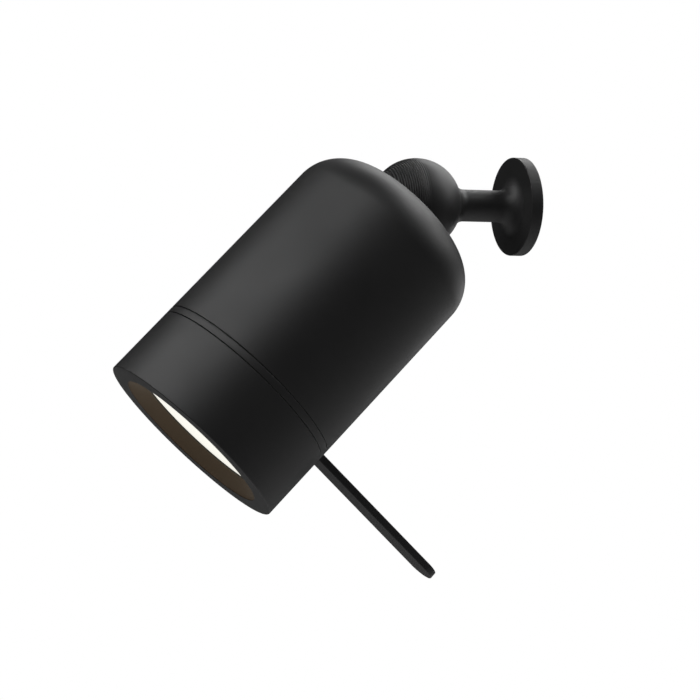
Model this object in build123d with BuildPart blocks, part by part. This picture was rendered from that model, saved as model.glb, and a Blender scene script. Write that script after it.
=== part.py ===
from build123d import *
from math import asin, cos, degrees, radians, sin, sqrt
import os

os.makedirs("parts", exist_ok=True)

# Everything is in millimetres and degrees. The wall is the plane y = 0 and the lamp stands out along -Y.
# The origin is the centre of the rose's wall face, and +Z is up.

# Clearances
turning_fit = 0.05  # radial, a shaft in its bearing
thread_fit = 0.03  # radial, a screwed or pressed piece in its hole
face_gap = 0.05  # between two flat faces that slide on each other
free_gap = 0.3  # between curved faces that pass each other
drop_in_gap = 0.4  # round a plate that is dropped into a shell

# Wall end
wall_to_ball = 57.6  # wall to the ball's centre
rose_radius = 24.45
rose_thick = 6.0
rose_recess = 4.4
rose_rim = 3.85
rose_edge = 0.35
flare_radius = 8.0
stem_radius = 7.9
lead_radius = 2.6
lead_bore = 3.4
plate_thick = 3.0
plate_hole = 4.0
wall_screw_inset = 7.2  # plate rim to the wall screws' centres
wall_screw_hole = 2.25
wall_screw_sink = 4.2
bush_flange = 5.0
bush_flange_thick = 0.8
bush_inset = 0.2  # the bush and the lead stay this far off the wall
earth_screw_inset = 8.2
earth_screw_head = 2.7
earth_screw_head_high = 1.2
earth_screw_shank = 1.5
grub_radius = 1.25
grub_length = 4.2
grub_from_wall = 1.7

# Ball
ball_radius = 22.5
ball_split = 0.1  # gap between the two halves
ball_fillet = 7.0
ring_pitch = 1.02  # along the stem's axis, from one turned ring to the next
ring_cutter = 0.42
ring_depth = 0.24
ring_reach = 0.93  # share of the radius that is turned with rings

# Joint inside the ball: these follow from the ball's radius
ball_wall = 0.133 * ball_radius
swivel_floor = 0.627 * ball_radius  # ball centre to the floor of the rear half
swivel_washer_outer = 0.4 * ball_radius
yoke_base_thick = 0.133 * ball_radius
yoke_base_radius = 0.56 * ball_radius
spring_outer = 0.32 * ball_radius
bolt_radius = 0.222 * ball_radius
bolt_flange = 0.311 * ball_radius
bolt_flange_thick = 0.089 * ball_radius
stop_pin_circle = 0.471 * ball_radius
cheek_thick = 0.178 * ball_radius
cheek_half_width = 0.28 * ball_radius
cheek_reach = 0.578 * ball_radius  # ball centre to the front end of the cheeks
cap_screw_sunk = 0.827 * ball_radius  # ball centre to the top of the sunk head
eye_radius = 0.29 * ball_radius
eye_half_width = 0.307 * ball_radius
eye_mouth = 0.147 * ball_radius
neck_radius = 0.2 * ball_radius
pivot_radius = 0.111 * ball_radius
pivot_thread = 0.089 * ball_radius
pivot_head = 0.151 * ball_radius
tilt_washer_outer = 0.249 * ball_radius

# Sizes in the joint that stay as they are
swivel_washer_thick = 0.8
spring_thick = 0.45
spring_rise = 0.35
bolt_bore = 3.2
bolt_in_stem = 17.0  # thread length inside the stem
stop_pin_radius = 1.0
stop_pin_reach = 1.2
stop_groove_depth = 1.5
stop_wall_angle = 8.0
cap_screw_shank = 1.25
cap_screw_head = 2.25
cap_screw_head_high = 2.0
cap_screw_length = 10.0
cap_screw_sink = 2.6
tilt_washer_thick = 0.45
pivot_thread_length = 3.0
pivot_head_thick = 2.0
neck_bore = 3.0
neck_slot_gap = 0.6
neck_collar = 7.5
neck_collar_thick = 2.5
nut_thick = 5.0
nut_flats = 7.0
neck_washer_thick = 1.0
neck_washer_outer = 9.0
neck_past_nut = 2.0

# Tilt of the head, as an angle below level
tilt_down = 45.0  # as it hangs
tilt_low = 0.0  # straight out from the wall
tilt_high = 58.0

# Head
head_radius = 50.0
head_length = 153.45
head_rear = 7.4  # ball centre to the head's rear face
rear_face = 5.7  # flat ring between the rear opening and the shoulder
shell_wall = 3.0
rear_opening_gap = 0.95
seat_ring_thick = 4.0
seat_ring_width = 4.2
shell_seat_wall = 2.5  # thinner wall where the ring carrier sits
shell_seat_length = 12.0
boss_inset = 12.0
boss_radius = 4.5
boss_hole_depth = 10.0
neck_plate_from_ball = 5.5
neck_plate_thick = 3.0
neck_plate_window = 6.5
plate_screw_shank = 1.95
plate_screw_head = 3.5
plate_screw_head_high = 2.4
plate_screw_length = 11.0

# Lever ring
ring_front_from_mouth = 36.0  # mouth plane to the ring's front face
ring_thick = 3.67
ring_gap = 0.3
ring_width = 5.4
ring_edge = 0.2
lever_reach = 135.1  # head axis to the lever's tip
lever_width = 17.0
lever_root_radius = 0.8
ring_turn = 60.0  # each way
ring_pin_radius = 0.75
ring_pin_reach = 1.3
ring_pin_depth = 3.0
ring_groove_depth = 1.6
slip_washer_width = 1.4
slip_washer_inset = 0.6
magnet_radius = 1.5
magnet_length = 2.0
magnet_sunk = 0.4
magnet_angle = 16.0
o_ring_radius = 0.75

# Ring carrier, heat sink and light unit
carrier_wall = 2.6
spigot_length = 7.7  # thread in front of the ring
ledge_thick = 3.0
ledge_width = 4.5
ledge_from_ring = 2.0  # ring's rear face to the ledge's rear face
sink_base_thick = 4.9
sink_gap = 0.2
fin_count = 10
fin_pitch = 7.0
fin_thick = 1.8
fin_height = 18.0
fin_margin = 1.5
wire_hole = 3.0
sink_screw_shank = 1.25
sink_screw_head = 2.2
sink_screw_head_high = 1.8
sink_screw_length = 6.5
board_thick = 1.6
board_gap = 0.5
chip_size = 3.0
chip_high = 0.7
chip_circles = ((0.24, 6), (0.49, 12), (0.72, 12))  # share of the board's radius, and how many
board_screw_inset = 4.65
board_screw_shank = 1.25
board_screw_head = 2.0
board_screw_head_high = 1.4
board_screw_length = 5.0
sensor_thick = 1.0
sensor_width = 2.4
sensor_angle = 76.0
reflector_wall = 1.2
reflector_foot = 5.5
reflector_inset = 1.5
reflector_rim = 1.8

# Front sleeve and diffuser
lip_width = 10.0
lip_thick = 2.5
mouth_recess = 8.65  # mouth plane to the diffuser
sleeve_wall = 2.5
skirt_wall = 2.0
sleeve_edge = 0.4
diffuser_thick = 3.0
diffuser_edge = 0.35
gasket_thick = 0.85
gasket_width = 3.2

# Driver
driver_gap = 9.0  # neck plate to the driver
driver_width = 56.0
driver_top = -4.5  # the driver's top face, beside the head's axis
driver_shell_gap = 2.6
driver_corner = 2.0
bracket_thick = 1.5
bracket_width = 28.0
bracket_nut_gap = 1.5
bracket_screw_shank = 1.45
bracket_screw_head = 2.7
bracket_screw_head_high = 1.8
bracket_foot_screw_length = 4.0
bracket_arm_screw_length = 5.5
terminal_width = 16.0
terminal_high = 11.0
terminal_length = 12.0
terminal_screw = 1.5
wire_radius = 0.8
wire_spacing = 4.0
wire_bend = 5.0
wire_room = 16.0  # driver to the heat sink's fins

# Places along the head's axis, measured from the ball's centre
mouth = head_rear + head_length
ring_front = mouth - ring_front_from_mouth
ring_rear = ring_front - ring_thick
shell_front = ring_rear - ring_gap
sleeve_rear = ring_front + ring_gap
ledge_rear = ring_rear + ledge_from_ring
ledge_front = ledge_rear + ledge_thick
sink_front = ledge_rear - face_gap
sink_rear = sink_front - sink_base_thick
board_front = sink_front + board_thick
diffuser_front = mouth - mouth_recess
diffuser_rear = diffuser_front - diffuser_thick
skirt_end = diffuser_front + gasket_thick
carrier_rear = shell_front - shell_seat_length
neck_plate_at = ball_radius + neck_plate_from_ball
plate_front = neck_plate_at + neck_plate_thick
nut_rear = plate_front + neck_washer_thick
neck_end = nut_rear + nut_thick + neck_past_nut
driver_rear = plate_front + driver_gap
driver_front = sink_rear - fin_height - wire_room
driver_length = driver_front - driver_rear

# Radii that follow from the head's radius
rear_opening = sqrt(ball_radius**2 - head_rear**2) + rear_opening_gap
shoulder_centre = rear_opening + rear_face
shoulder_radius = head_radius - shoulder_centre
shoulder_start = head_rear + shoulder_radius
inner_shoulder = shoulder_radius - shell_wall
shell_inner = head_radius - shell_wall
shell_seat = head_radius - shell_seat_wall
boss_circle = head_radius - boss_inset
carrier_outer = shell_seat - thread_fit
ring_inner = head_radius - ring_width
land_radius = ring_inner - turning_fit
collar_inner = land_radius + thread_fit
ring_pin_circle = (land_radius + carrier_outer) / 2
carrier_inner = land_radius - carrier_wall
ledge_inner = carrier_inner - ledge_width
sink_screw_circle = ledge_inner + ledge_width / 2
sink_radius = carrier_inner - sink_gap
board_radius = ledge_inner - board_gap
board_screw_circle = board_radius - board_screw_inset
sleeve_inner = head_radius - sleeve_wall
mouth_radius = head_radius - lip_width
diffuser_radius = collar_inner - drop_in_gap
neck_plate_window_circle = (boss_circle - boss_radius + neck_washer_outer) / 2
driver_bottom = -sqrt((shell_inner - driver_shell_gap) ** 2 - (driver_width / 2) ** 2)
bracket_foot_top = -neck_washer_outer - bracket_nut_gap
bracket_foot_middle = (driver_bottom - bracket_thick + bracket_foot_top) / 2

# Places inside the ball, measured from its centre towards the wall
ball_inner = ball_radius - ball_wall
yoke_base_rear = swivel_floor - swivel_washer_thick - 2 * face_gap
yoke_base_front = yoke_base_rear - yoke_base_thick
spring_front = yoke_base_front - face_gap - spring_thick - spring_rise
flange_front = spring_front - bolt_flange_thick
fillet_centre_radius = stem_radius + ball_fillet
stem_front = sqrt((ball_radius + ball_fillet) ** 2 - fillet_centre_radius**2)
cheek_inner = eye_half_width + tilt_washer_thick + face_gap
cheek_outer = cheek_inner + cheek_thick
cheek_middle = cheek_inner + cheek_thick / 2
stem_length = wall_to_ball - stem_front

# Places on the wall plate
rose_recess_radius = rose_radius - rose_rim
plate_radius = rose_recess_radius - drop_in_gap
wall_screw_spacing = 2 * (plate_radius - wall_screw_inset)
earth_screw_offset = plate_radius - earth_screw_inset

# Planes. On the profile planes x is the radius and y runs along the axis.
ball_centre = Vector(0, -wall_to_ball, 0)
tilt_sin = sin(radians(tilt_down))
tilt_cos = cos(radians(tilt_down))
head_direction = Vector(0, -tilt_cos, -tilt_sin)
wall_plane = Plane(origin=(0, 0, 0), x_dir=(1, 0, 0), z_dir=(0, -1, 0))  # z leaves the wall, y is up
wall_profile = Plane(origin=(0, 0, 0), x_dir=(1, 0, 0), z_dir=(0, 0, -1))
ball_plane = Plane(origin=ball_centre, x_dir=(1, 0, 0), z_dir=(0, 1, 0))  # z runs to the wall, y is down
ball_front_plane = Plane(origin=ball_centre, x_dir=(1, 0, 0), z_dir=(0, -1, 0))
ball_profile = Plane(origin=ball_centre, x_dir=(1, 0, 0), z_dir=(0, 0, 1))
ball_side = Plane(origin=ball_centre, x_dir=(0, 1, 0), z_dir=(1, 0, 0))  # x runs to the wall, y is up
head_plane = Plane(origin=ball_centre, x_dir=(1, 0, 0), z_dir=head_direction)  # the lever lies along -y
head_profile = Plane(origin=ball_centre, x_dir=(1, 0, 0), z_dir=(0, tilt_sin, -tilt_cos))
stem_axis = Axis(ball_centre, (0, 1, 0))
head_axis = Axis(ball_centre, head_direction)
three_spots = PolarLocations(boss_circle, 3, start_angle=90)


def turned(profile_plane, axis, points):
    """A turned piece: a closed outline of radius and place, spun once round its axis."""
    with BuildPart() as piece:
        with BuildSketch(profile_plane):
            with BuildLine():
                Polyline(*points, close=True)
            make_face()
        revolve(axis=axis)
    return piece


def screws(face, spots, head, head_high, shank, length):
    """Equal screws with round heads on one face, each with a hexagon socket."""
    with BuildPart() as group:
        with BuildSketch(face):
            with spots:
                Circle(head)
        extrude(amount=head_high)
        with BuildSketch(face):
            with spots:
                Circle(shank)
        extrude(amount=-length)
        with BuildSketch(face.offset(head_high)):
            with spots:
                RegularPolygon(radius=head * 0.5, side_count=6)
        extrude(amount=-head_high * 0.6, mode=Mode.SUBTRACT)
    return group


# Wall plate: a steel disc with two countersunk holes for the wall screws
with BuildPart() as wall_plate:
    with BuildSketch(wall_plane):
        Circle(plate_radius)
        Circle(plate_hole, mode=Mode.SUBTRACT)
        with Locations((0, earth_screw_offset)):
            Circle(earth_screw_shank + thread_fit, mode=Mode.SUBTRACT)
    extrude(amount=plate_thick)
    with Locations(wall_plane.offset(plate_thick)):
        with GridLocations(wall_screw_spacing, 0, 2, 1):
            CounterSinkHole(wall_screw_hole, wall_screw_sink)
    with BuildSketch(Plane(origin=(0, -grub_from_wall, -rose_radius), z_dir=(0, 0, 1))):
        Circle(grub_radius + thread_fit)
    extrude(amount=grub_length + rose_edge + thread_fit, mode=Mode.SUBTRACT)
wall_plate.part.label = "wall_plate"
export_step(wall_plate.part, "parts/wall_plate.step")

# Cable bush: a flanged rubber ring in the wall plate's middle hole
cable_bush = turned(
    wall_profile,
    stem_axis,
    (
        (lead_radius + thread_fit, bush_inset),
        (plate_hole - thread_fit, bush_inset),
        (plate_hole - thread_fit, plate_thick),
        (bush_flange, plate_thick),
        (bush_flange, plate_thick + bush_flange_thick),
        (lead_radius + thread_fit, plate_thick + bush_flange_thick),
    ),
)
cable_bush.part.label = "cable_bush"
export_step(cable_bush.part, "parts/cable_bush.step")

# Earth screw on the wall plate
earth_screw = screws(
    wall_plane.offset(plate_thick),
    Locations((0, earth_screw_offset)),
    earth_screw_head,
    earth_screw_head_high,
    earth_screw_shank,
    plate_thick - bush_inset,
)
earth_screw.part.label = "earth_screw"
export_step(earth_screw.part, "parts/earth_screw.step")

# Rose and stem: one turning, a thick disc, a concave flare and a hollow stem
flare_outer = stem_radius + flare_radius
thread_end = stem_length - bolt_in_stem - 1
with BuildPart() as rose_and_stem:
    with BuildSketch(wall_profile):
        with BuildLine():
            rose_outline = Polyline(
                (flare_outer, rose_thick),
                (rose_radius, rose_thick),
                (rose_radius, 0),
                (rose_recess_radius, 0),
                (rose_recess_radius, rose_recess),
                (lead_bore, rose_recess),
                (lead_bore, thread_end),
                (bolt_radius + thread_fit, thread_end),
                (bolt_radius + thread_fit, stem_length),
                (stem_radius, stem_length),
                (stem_radius, rose_thick + flare_radius),
            )
            CenterArc((flare_outer, rose_thick + flare_radius), flare_radius, 180, 90)
        make_face()
    revolve(axis=stem_axis)
    rose_rims = rose_and_stem.edges().filter_by(
        lambda edge: edge.geom_type == GeomType.CIRCLE and abs(edge.radius - rose_radius) < 0.01
    )
    fillet(rose_rims, rose_edge)
    with BuildSketch(Plane(origin=(0, -grub_from_wall, -rose_radius - 1), z_dir=(0, 0, 1))):
        Circle(grub_radius + thread_fit)
    extrude(amount=rose_rim + 1.5, mode=Mode.SUBTRACT)
rose_and_stem.part.label = "rose_and_stem"
export_step(rose_and_stem.part, "parts/rose_and_stem.step")

# Grub screw: holds the rose on the wall plate from below
with BuildPart() as rose_grub_screw:
    with BuildSketch(Plane(origin=(0, -grub_from_wall, -rose_radius + rose_edge), z_dir=(0, 0, 1))):
        Circle(grub_radius)
    extrude(amount=grub_length)
    with BuildSketch(Plane(origin=(0, -grub_from_wall, -rose_radius + rose_edge), z_dir=(0, 0, 1))):
        RegularPolygon(radius=grub_radius * 0.55, side_count=6)
    extrude(amount=grub_radius, mode=Mode.SUBTRACT)
rose_grub_screw.part.label = "rose_grub_screw"
export_step(rose_grub_screw.part, "parts/rose_grub_screw.step")

# Supply lead inside the stem, up to the hollow bolt's flange
with BuildPart() as stem_lead:
    with BuildSketch(wall_plane.offset(bush_inset)):
        Circle(lead_radius)
    extrude(amount=wall_to_ball - flange_front - bush_inset - 0.5)
stem_lead.part.label = "stem_lead"
export_step(stem_lead.part, "parts/stem_lead.step")

# Ball, rear half: smooth outside, screwed to the stem's end, with an arc groove for the stop pin
fillet_angle = degrees(asin(fillet_centre_radius / (ball_radius + ball_fillet)))
rear_start_angle = degrees(asin(ball_split / 2 / ball_radius))
inner_floor_angle = degrees(asin(swivel_floor / ball_inner))
inner_start_angle = degrees(asin(ball_split / 2 / ball_inner))
stop_groove_half = stop_pin_radius + free_gap
with BuildPart() as ball_rear_half:
    with BuildSketch(ball_profile):
        with BuildLine():
            outer_arc = CenterArc((0, 0), ball_radius, rear_start_angle, 90 - fillet_angle - rear_start_angle)
            neck_arc = CenterArc(
                (fillet_centre_radius, stem_front), ball_fillet, 180, 90 - fillet_angle
            )
            inner_arc = CenterArc(
                (0, 0), ball_inner, inner_start_angle, inner_floor_angle - inner_start_angle
            )
            Polyline(
                neck_arc @ 0,
                (bolt_radius + thread_fit, stem_front),
                (bolt_radius + thread_fit, swivel_floor),
                inner_arc @ 1,
            )
            Line(inner_arc @ 0, outer_arc @ 0)
        make_face()
    revolve(axis=stem_axis)
    with BuildSketch(ball_profile):
        with Locations((stop_pin_circle, swivel_floor)):
            Rectangle(2 * stop_groove_half, 2 * stop_groove_depth)
    revolve(axis=stem_axis, mode=Mode.SUBTRACT)
    with BuildSketch(ball_plane.offset(swivel_floor)):
        with BuildLine():
            groove_inner = CenterArc(
                (0, 0), stop_pin_circle - stop_groove_half, 90 - stop_wall_angle / 2, stop_wall_angle
            )
            groove_outer = CenterArc(
                (0, 0), stop_pin_circle + stop_groove_half, 90 - stop_wall_angle / 2, stop_wall_angle
            )
            Line(groove_inner @ 0, groove_outer @ 0)
            Line(groove_inner @ 1, groove_outer @ 1)
        make_face()
    extrude(amount=stop_groove_depth)
ball_rear_half.part.label = "ball_rear_half"
export_step(ball_rear_half.part, "parts/ball_rear_half.step")

# Hollow bolt: clamps the swivel from inside the ball and lets the lead through
bolt_end = stem_front + bolt_in_stem
with BuildPart() as swivel_bolt:
    with BuildSketch(ball_plane.offset(flange_front)):
        Circle(bolt_flange)
    extrude(amount=bolt_flange_thick)
    with BuildSketch(ball_plane.offset(flange_front)):
        Circle(bolt_radius)
    extrude(amount=bolt_end - flange_front)
    with BuildSketch(ball_plane.offset(flange_front)):
        Circle(bolt_bore)
    extrude(amount=bolt_end - flange_front, mode=Mode.SUBTRACT)
    with BuildSketch(ball_plane.offset(flange_front)):
        RegularPolygon(radius=bolt_bore * 1.3, side_count=6)
    extrude(amount=bolt_flange_thick * 0.8, mode=Mode.SUBTRACT)
swivel_bolt.part.label = "swivel_bolt"
export_step(swivel_bolt.part, "parts/swivel_bolt.step")

# Friction washer between the yoke and the floor of the rear half
with BuildPart() as swivel_washer:
    with BuildSketch(ball_plane.offset(yoke_base_rear + face_gap)):
        Circle(swivel_washer_outer)
        Circle(bolt_radius + drop_in_gap, mode=Mode.SUBTRACT)
    extrude(amount=swivel_washer_thick)
swivel_washer.part.label = "swivel_washer"
export_step(swivel_washer.part, "parts/swivel_washer.step")

# Spring washer: a shallow cone under the bolt's flange
spring_inner = bolt_radius + 0.2
swivel_spring = turned(
    ball_profile,
    stem_axis,
    (
        (spring_inner, spring_front),
        (spring_outer, spring_front + spring_rise),
        (spring_outer, spring_front + spring_rise + spring_thick),
        (spring_inner, spring_front + spring_thick),
    ),
)
swivel_spring.part.label = "swivel_spring"
export_step(swivel_spring.part, "parts/swivel_spring.step")

# Swivel yoke: a round base with two cheeks that carry the tilt pivots
cap_screw_tip = cap_screw_sunk - cap_screw_head_high - cap_screw_length
with BuildPart() as swivel_yoke:
    with BuildSketch(ball_plane.offset(yoke_base_front)):
        Circle(yoke_base_radius)
    extrude(amount=yoke_base_thick)
    with BuildSketch(ball_plane.offset(-cheek_reach)):
        with Locations((cheek_middle, 0), (-cheek_middle, 0)):
            Rectangle(cheek_thick, 2 * cheek_half_width)
    extrude(amount=cheek_reach + yoke_base_rear)
    with BuildSketch(ball_plane.offset(yoke_base_front)):
        Circle(bolt_radius + turning_fit)
        with Locations((0, -stop_pin_circle)):
            Circle(stop_pin_radius + thread_fit)
    extrude(amount=yoke_base_thick, mode=Mode.SUBTRACT)
    with BuildSketch(ball_side.offset(-cheek_outer - 1)):
        Circle(pivot_radius + turning_fit)
    extrude(amount=2 * cheek_outer + 2, mode=Mode.SUBTRACT)
    with BuildSketch(ball_plane.offset(-cheek_reach)):
        with Locations((cheek_middle, 0), (-cheek_middle, 0)):
            Circle(cap_screw_shank + thread_fit)
    extrude(amount=cheek_reach - cap_screw_tip + 0.5, mode=Mode.SUBTRACT)
swivel_yoke.part.label = "swivel_yoke"
export_step(swivel_yoke.part, "parts/swivel_yoke.step")

# Stop pin: pressed into the yoke, it runs in the groove and stops the swivel before the lead twists
with BuildPart() as swivel_stop_pin:
    with BuildSketch(ball_plane.offset(yoke_base_front)):
        with Locations((0, -stop_pin_circle)):
            Circle(stop_pin_radius)
    extrude(amount=swivel_floor - yoke_base_front + stop_pin_reach)
swivel_stop_pin.part.label = "swivel_stop_pin"
export_step(swivel_stop_pin.part, "parts/swivel_stop_pin.step")

# Ball, front half: a shell with turned rings, a slot for the neck and two pads for its screws
slot_half = neck_radius + neck_slot_gap
slot_far = 1.5 * ball_radius
slot_corners = [(0, 0)]
for slot_angle in (tilt_low, (tilt_low + tilt_high) / 2, tilt_high):
    slot_corners.append((-slot_far * cos(radians(slot_angle)), -slot_far * sin(radians(slot_angle))))
with BuildPart() as cap_hollow:
    with BuildSketch(ball_profile):
        with BuildLine():
            hollow_arc = CenterArc((0, 0), ball_inner, -90, 90)
            Polyline(hollow_arc @ 1, (0, 0), hollow_arc @ 0)
        make_face()
    revolve(axis=stem_axis)
    with BuildSketch(ball_front_plane.offset(cheek_reach + face_gap)):
        with Locations((cheek_middle, 0), (-cheek_middle, 0)):
            Rectangle(cheek_thick, 2 * cheek_half_width)
    extrude(amount=ball_radius, mode=Mode.SUBTRACT)
with BuildPart() as ball_front_half:
    with BuildSketch(ball_profile):
        with BuildLine():
            cap_arc = CenterArc((0, 0), ball_radius, -90, 90 - rear_start_angle)
            Polyline(cap_arc @ 1, (0, -ball_split / 2), cap_arc @ 0)
        make_face()
    revolve(axis=stem_axis)
    with BuildSketch(ball_profile):
        for ring in range(int(ring_reach * ball_radius / ring_pitch)):
            ring_place = (ring + 0.5) * ring_pitch
            ring_angle = asin(ring_place / ball_radius)
            cutter_middle = ball_radius + ring_cutter - ring_depth
            with Locations((cutter_middle * cos(ring_angle), -cutter_middle * sin(ring_angle))):
                Circle(ring_cutter)
    revolve(axis=stem_axis, mode=Mode.SUBTRACT)
    add(cap_hollow.part, mode=Mode.SUBTRACT)
    with BuildSketch(ball_side.offset(-slot_half)):
        with BuildLine():
            Polyline(*slot_corners, close=True)
        make_face()
    extrude(amount=2 * slot_half, mode=Mode.SUBTRACT)
    for slot_angle in (tilt_low, tilt_high):
        slot_direction = (0, -cos(radians(slot_angle)), -sin(radians(slot_angle)))
        with BuildSketch(Plane(origin=ball_centre, x_dir=(1, 0, 0), z_dir=slot_direction)):
            Circle(slot_half)
        extrude(amount=slot_far, mode=Mode.SUBTRACT)
    with BuildSketch(ball_front_plane):
        with Locations((cheek_middle, 0), (-cheek_middle, 0)):
            Circle(cap_screw_shank + thread_fit)
    extrude(amount=ball_radius, mode=Mode.SUBTRACT)
    with BuildSketch(ball_front_plane.offset(cap_screw_sunk - cap_screw_head_high)):
        with Locations((cheek_middle, 0), (-cheek_middle, 0)):
            Circle(cap_screw_sink)
    extrude(amount=ball_radius, mode=Mode.SUBTRACT)
ball_front_half.part.label = "ball_front_half"
export_step(ball_front_half.part, "parts/ball_front_half.step")

# Two screws that hold the front half on the yoke's cheeks
ball_cap_screws = screws(
    ball_front_plane.offset(cap_screw_sunk - cap_screw_head_high),
    Locations((cheek_middle, 0), (-cheek_middle, 0)),
    cap_screw_head,
    cap_screw_head_high,
    cap_screw_shank,
    cap_screw_length,
)
ball_cap_screws.part.label = "ball_cap_screws"
export_step(ball_cap_screws.part, "parts/ball_cap_screws.step")

# Tilt knuckle: two ears round the ball's centre, a hollow neck and a collar for the neck plate
with BuildPart() as tilt_knuckle:
    with BuildSketch(ball_side.offset(-eye_half_width)):
        Circle(eye_radius)
    extrude(amount=2 * eye_half_width)
    with BuildSketch(head_plane):
        Circle(neck_radius)
    extrude(amount=neck_end)
    with BuildSketch(head_plane.offset(neck_plate_at - neck_collar_thick)):
        Circle(neck_collar)
    extrude(amount=neck_collar_thick)
    with BuildSketch(head_plane.offset(-eye_radius)):
        Rectangle(2 * eye_mouth, 2 * eye_radius)
    extrude(amount=eye_radius, mode=Mode.SUBTRACT)
    with BuildSketch(head_plane.offset(-eye_radius)):
        Circle(neck_bore)
    extrude(amount=neck_end + eye_radius, mode=Mode.SUBTRACT)
    with BuildSketch(ball_side.offset(-eye_half_width)):
        Circle(pivot_thread + thread_fit)
    extrude(amount=2 * eye_half_width, mode=Mode.SUBTRACT)
tilt_knuckle.part.label = "tilt_knuckle"
export_step(tilt_knuckle.part, "parts/tilt_knuckle.step")

# Pivot screws: shoulders turn in the cheeks, threads hold in the knuckle's ears
with BuildPart() as tilt_pivot_screws:
    for side in (1, -1):
        side_plane = Plane(origin=ball_centre, x_dir=(0, side, 0), z_dir=(side, 0, 0))
        with BuildSketch(side_plane.offset(eye_half_width - pivot_thread_length)):
            Circle(pivot_thread)
        extrude(amount=pivot_thread_length)
        with BuildSketch(side_plane.offset(eye_half_width)):
            Circle(pivot_radius)
        extrude(amount=cheek_outer + face_gap - eye_half_width)
        with BuildSketch(side_plane.offset(cheek_outer + face_gap)):
            Circle(pivot_head)
            RegularPolygon(radius=pivot_head * 0.5, side_count=6, mode=Mode.SUBTRACT)
        extrude(amount=pivot_head_thick)
tilt_pivot_screws.part.label = "tilt_pivot_screws"
export_step(tilt_pivot_screws.part, "parts/tilt_pivot_screws.step")

# Friction washers between the ears and the cheeks
with BuildPart() as tilt_washers:
    for side in (1, -1):
        side_plane = Plane(origin=ball_centre, x_dir=(0, side, 0), z_dir=(side, 0, 0))
        with BuildSketch(side_plane.offset(eye_half_width)):
            Circle(tilt_washer_outer)
            Circle(pivot_radius + thread_fit, mode=Mode.SUBTRACT)
        extrude(amount=tilt_washer_thick)
tilt_washers.part.label = "tilt_washers"
export_step(tilt_washers.part, "parts/tilt_washers.step")

# Head shell: a long cup with a rounded shoulder, open round the ball, with three bosses inside
with BuildPart() as shell_hollow:
    with BuildSketch(head_profile):
        with BuildLine():
            Polyline(
                (shoulder_centre, head_rear + shell_wall),
                (0, head_rear + shell_wall),
                (0, shell_front),
                (shell_seat, shell_front),
                (shell_seat, carrier_rear),
                (shell_inner, carrier_rear),
                (shell_inner, shoulder_start),
            )
            CenterArc((shoulder_centre, shoulder_start), inner_shoulder, -90, 90)
        make_face()
    revolve(axis=head_axis)
    with BuildSketch(head_plane.offset(neck_plate_at)):
        with three_spots:
            Circle(boss_radius)
    extrude(amount=-neck_plate_at, mode=Mode.SUBTRACT)
with BuildPart() as head_shell:
    with BuildSketch(head_profile):
        with BuildLine():
            Polyline(
                (shoulder_centre, head_rear),
                (0, head_rear),
                (0, shell_front),
                (head_radius, shell_front),
                (head_radius, shoulder_start),
            )
            CenterArc((shoulder_centre, shoulder_start), shoulder_radius, -90, 90)
        make_face()
    revolve(axis=head_axis)
    add(shell_hollow.part, mode=Mode.SUBTRACT)
    with BuildSketch(head_plane.offset(head_rear)):
        Circle(rear_opening)
    extrude(amount=shell_wall, mode=Mode.SUBTRACT)
    with BuildSketch(head_plane.offset(neck_plate_at)):
        with three_spots:
            Circle(plate_screw_shank + thread_fit)
    extrude(amount=-boss_hole_depth, mode=Mode.SUBTRACT)
    shell_rim = head_shell.edges().filter_by(
        lambda edge: edge.geom_type == GeomType.CIRCLE and abs(edge.radius - head_radius) < 0.01
    )
    chamfer(shell_rim.sort_by(head_axis)[-1], ring_edge)
    chamfer(
        head_shell.edges().filter_by(
            lambda edge: edge.geom_type == GeomType.CIRCLE and abs(edge.radius - rear_opening) < 0.01
        ).sort_by(head_axis)[0],
        ring_edge,
    )
head_shell.part.label = "head_shell"
export_step(head_shell.part, "parts/head_shell.step")

# Seat ring: a low-friction liner inside the shell that follows the ball's surface
seat_rear = head_rear + shell_wall
seat_front = seat_rear + seat_ring_thick
seat_sphere = ball_radius + free_gap
with BuildPart() as ball_seat_ring:
    with BuildSketch(head_plane.offset(seat_rear)):
        Circle(rear_opening + seat_ring_width)
    extrude(amount=seat_ring_thick)
    with BuildSketch(head_profile):
        with BuildLine():
            seat_arc = CenterArc((0, 0), seat_sphere, -90, 180)
            Line(seat_arc @ 0, seat_arc @ 1)
        make_face()
    revolve(axis=head_axis, mode=Mode.SUBTRACT)
ball_seat_ring.part.label = "ball_seat_ring"
export_step(ball_seat_ring.part, "parts/ball_seat_ring.step")

# Neck plate: carries the whole head on the knuckle's neck
neck_plate_radius = (
    shoulder_centre
    + sqrt(inner_shoulder**2 - max(shoulder_start - neck_plate_at, 0) ** 2)
    - drop_in_gap
)
foot_screw_spots = Locations(
    (-bracket_width / 4, bracket_foot_middle), (bracket_width / 4, bracket_foot_middle)
)
with BuildPart() as neck_plate:
    with BuildSketch(head_plane.offset(neck_plate_at)):
        Circle(neck_plate_radius)
        Circle(neck_radius + thread_fit, mode=Mode.SUBTRACT)
        with three_spots:
            Circle(plate_screw_shank + thread_fit, mode=Mode.SUBTRACT)
        with PolarLocations(neck_plate_window_circle, 3, start_angle=90):
            Circle(neck_plate_window, mode=Mode.SUBTRACT)
        with foot_screw_spots:
            Circle(bracket_screw_shank + thread_fit, mode=Mode.SUBTRACT)
    extrude(amount=neck_plate_thick)
neck_plate.part.label = "neck_plate"
export_step(neck_plate.part, "parts/neck_plate.step")

# Three screws that hold the neck plate on the shell's bosses
neck_plate_screws = screws(
    head_plane.offset(plate_front),
    three_spots,
    plate_screw_head,
    plate_screw_head_high,
    plate_screw_shank,
    plate_screw_length,
)
neck_plate_screws.part.label = "neck_plate_screws"
export_step(neck_plate_screws.part, "parts/neck_plate_screws.step")

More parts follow.
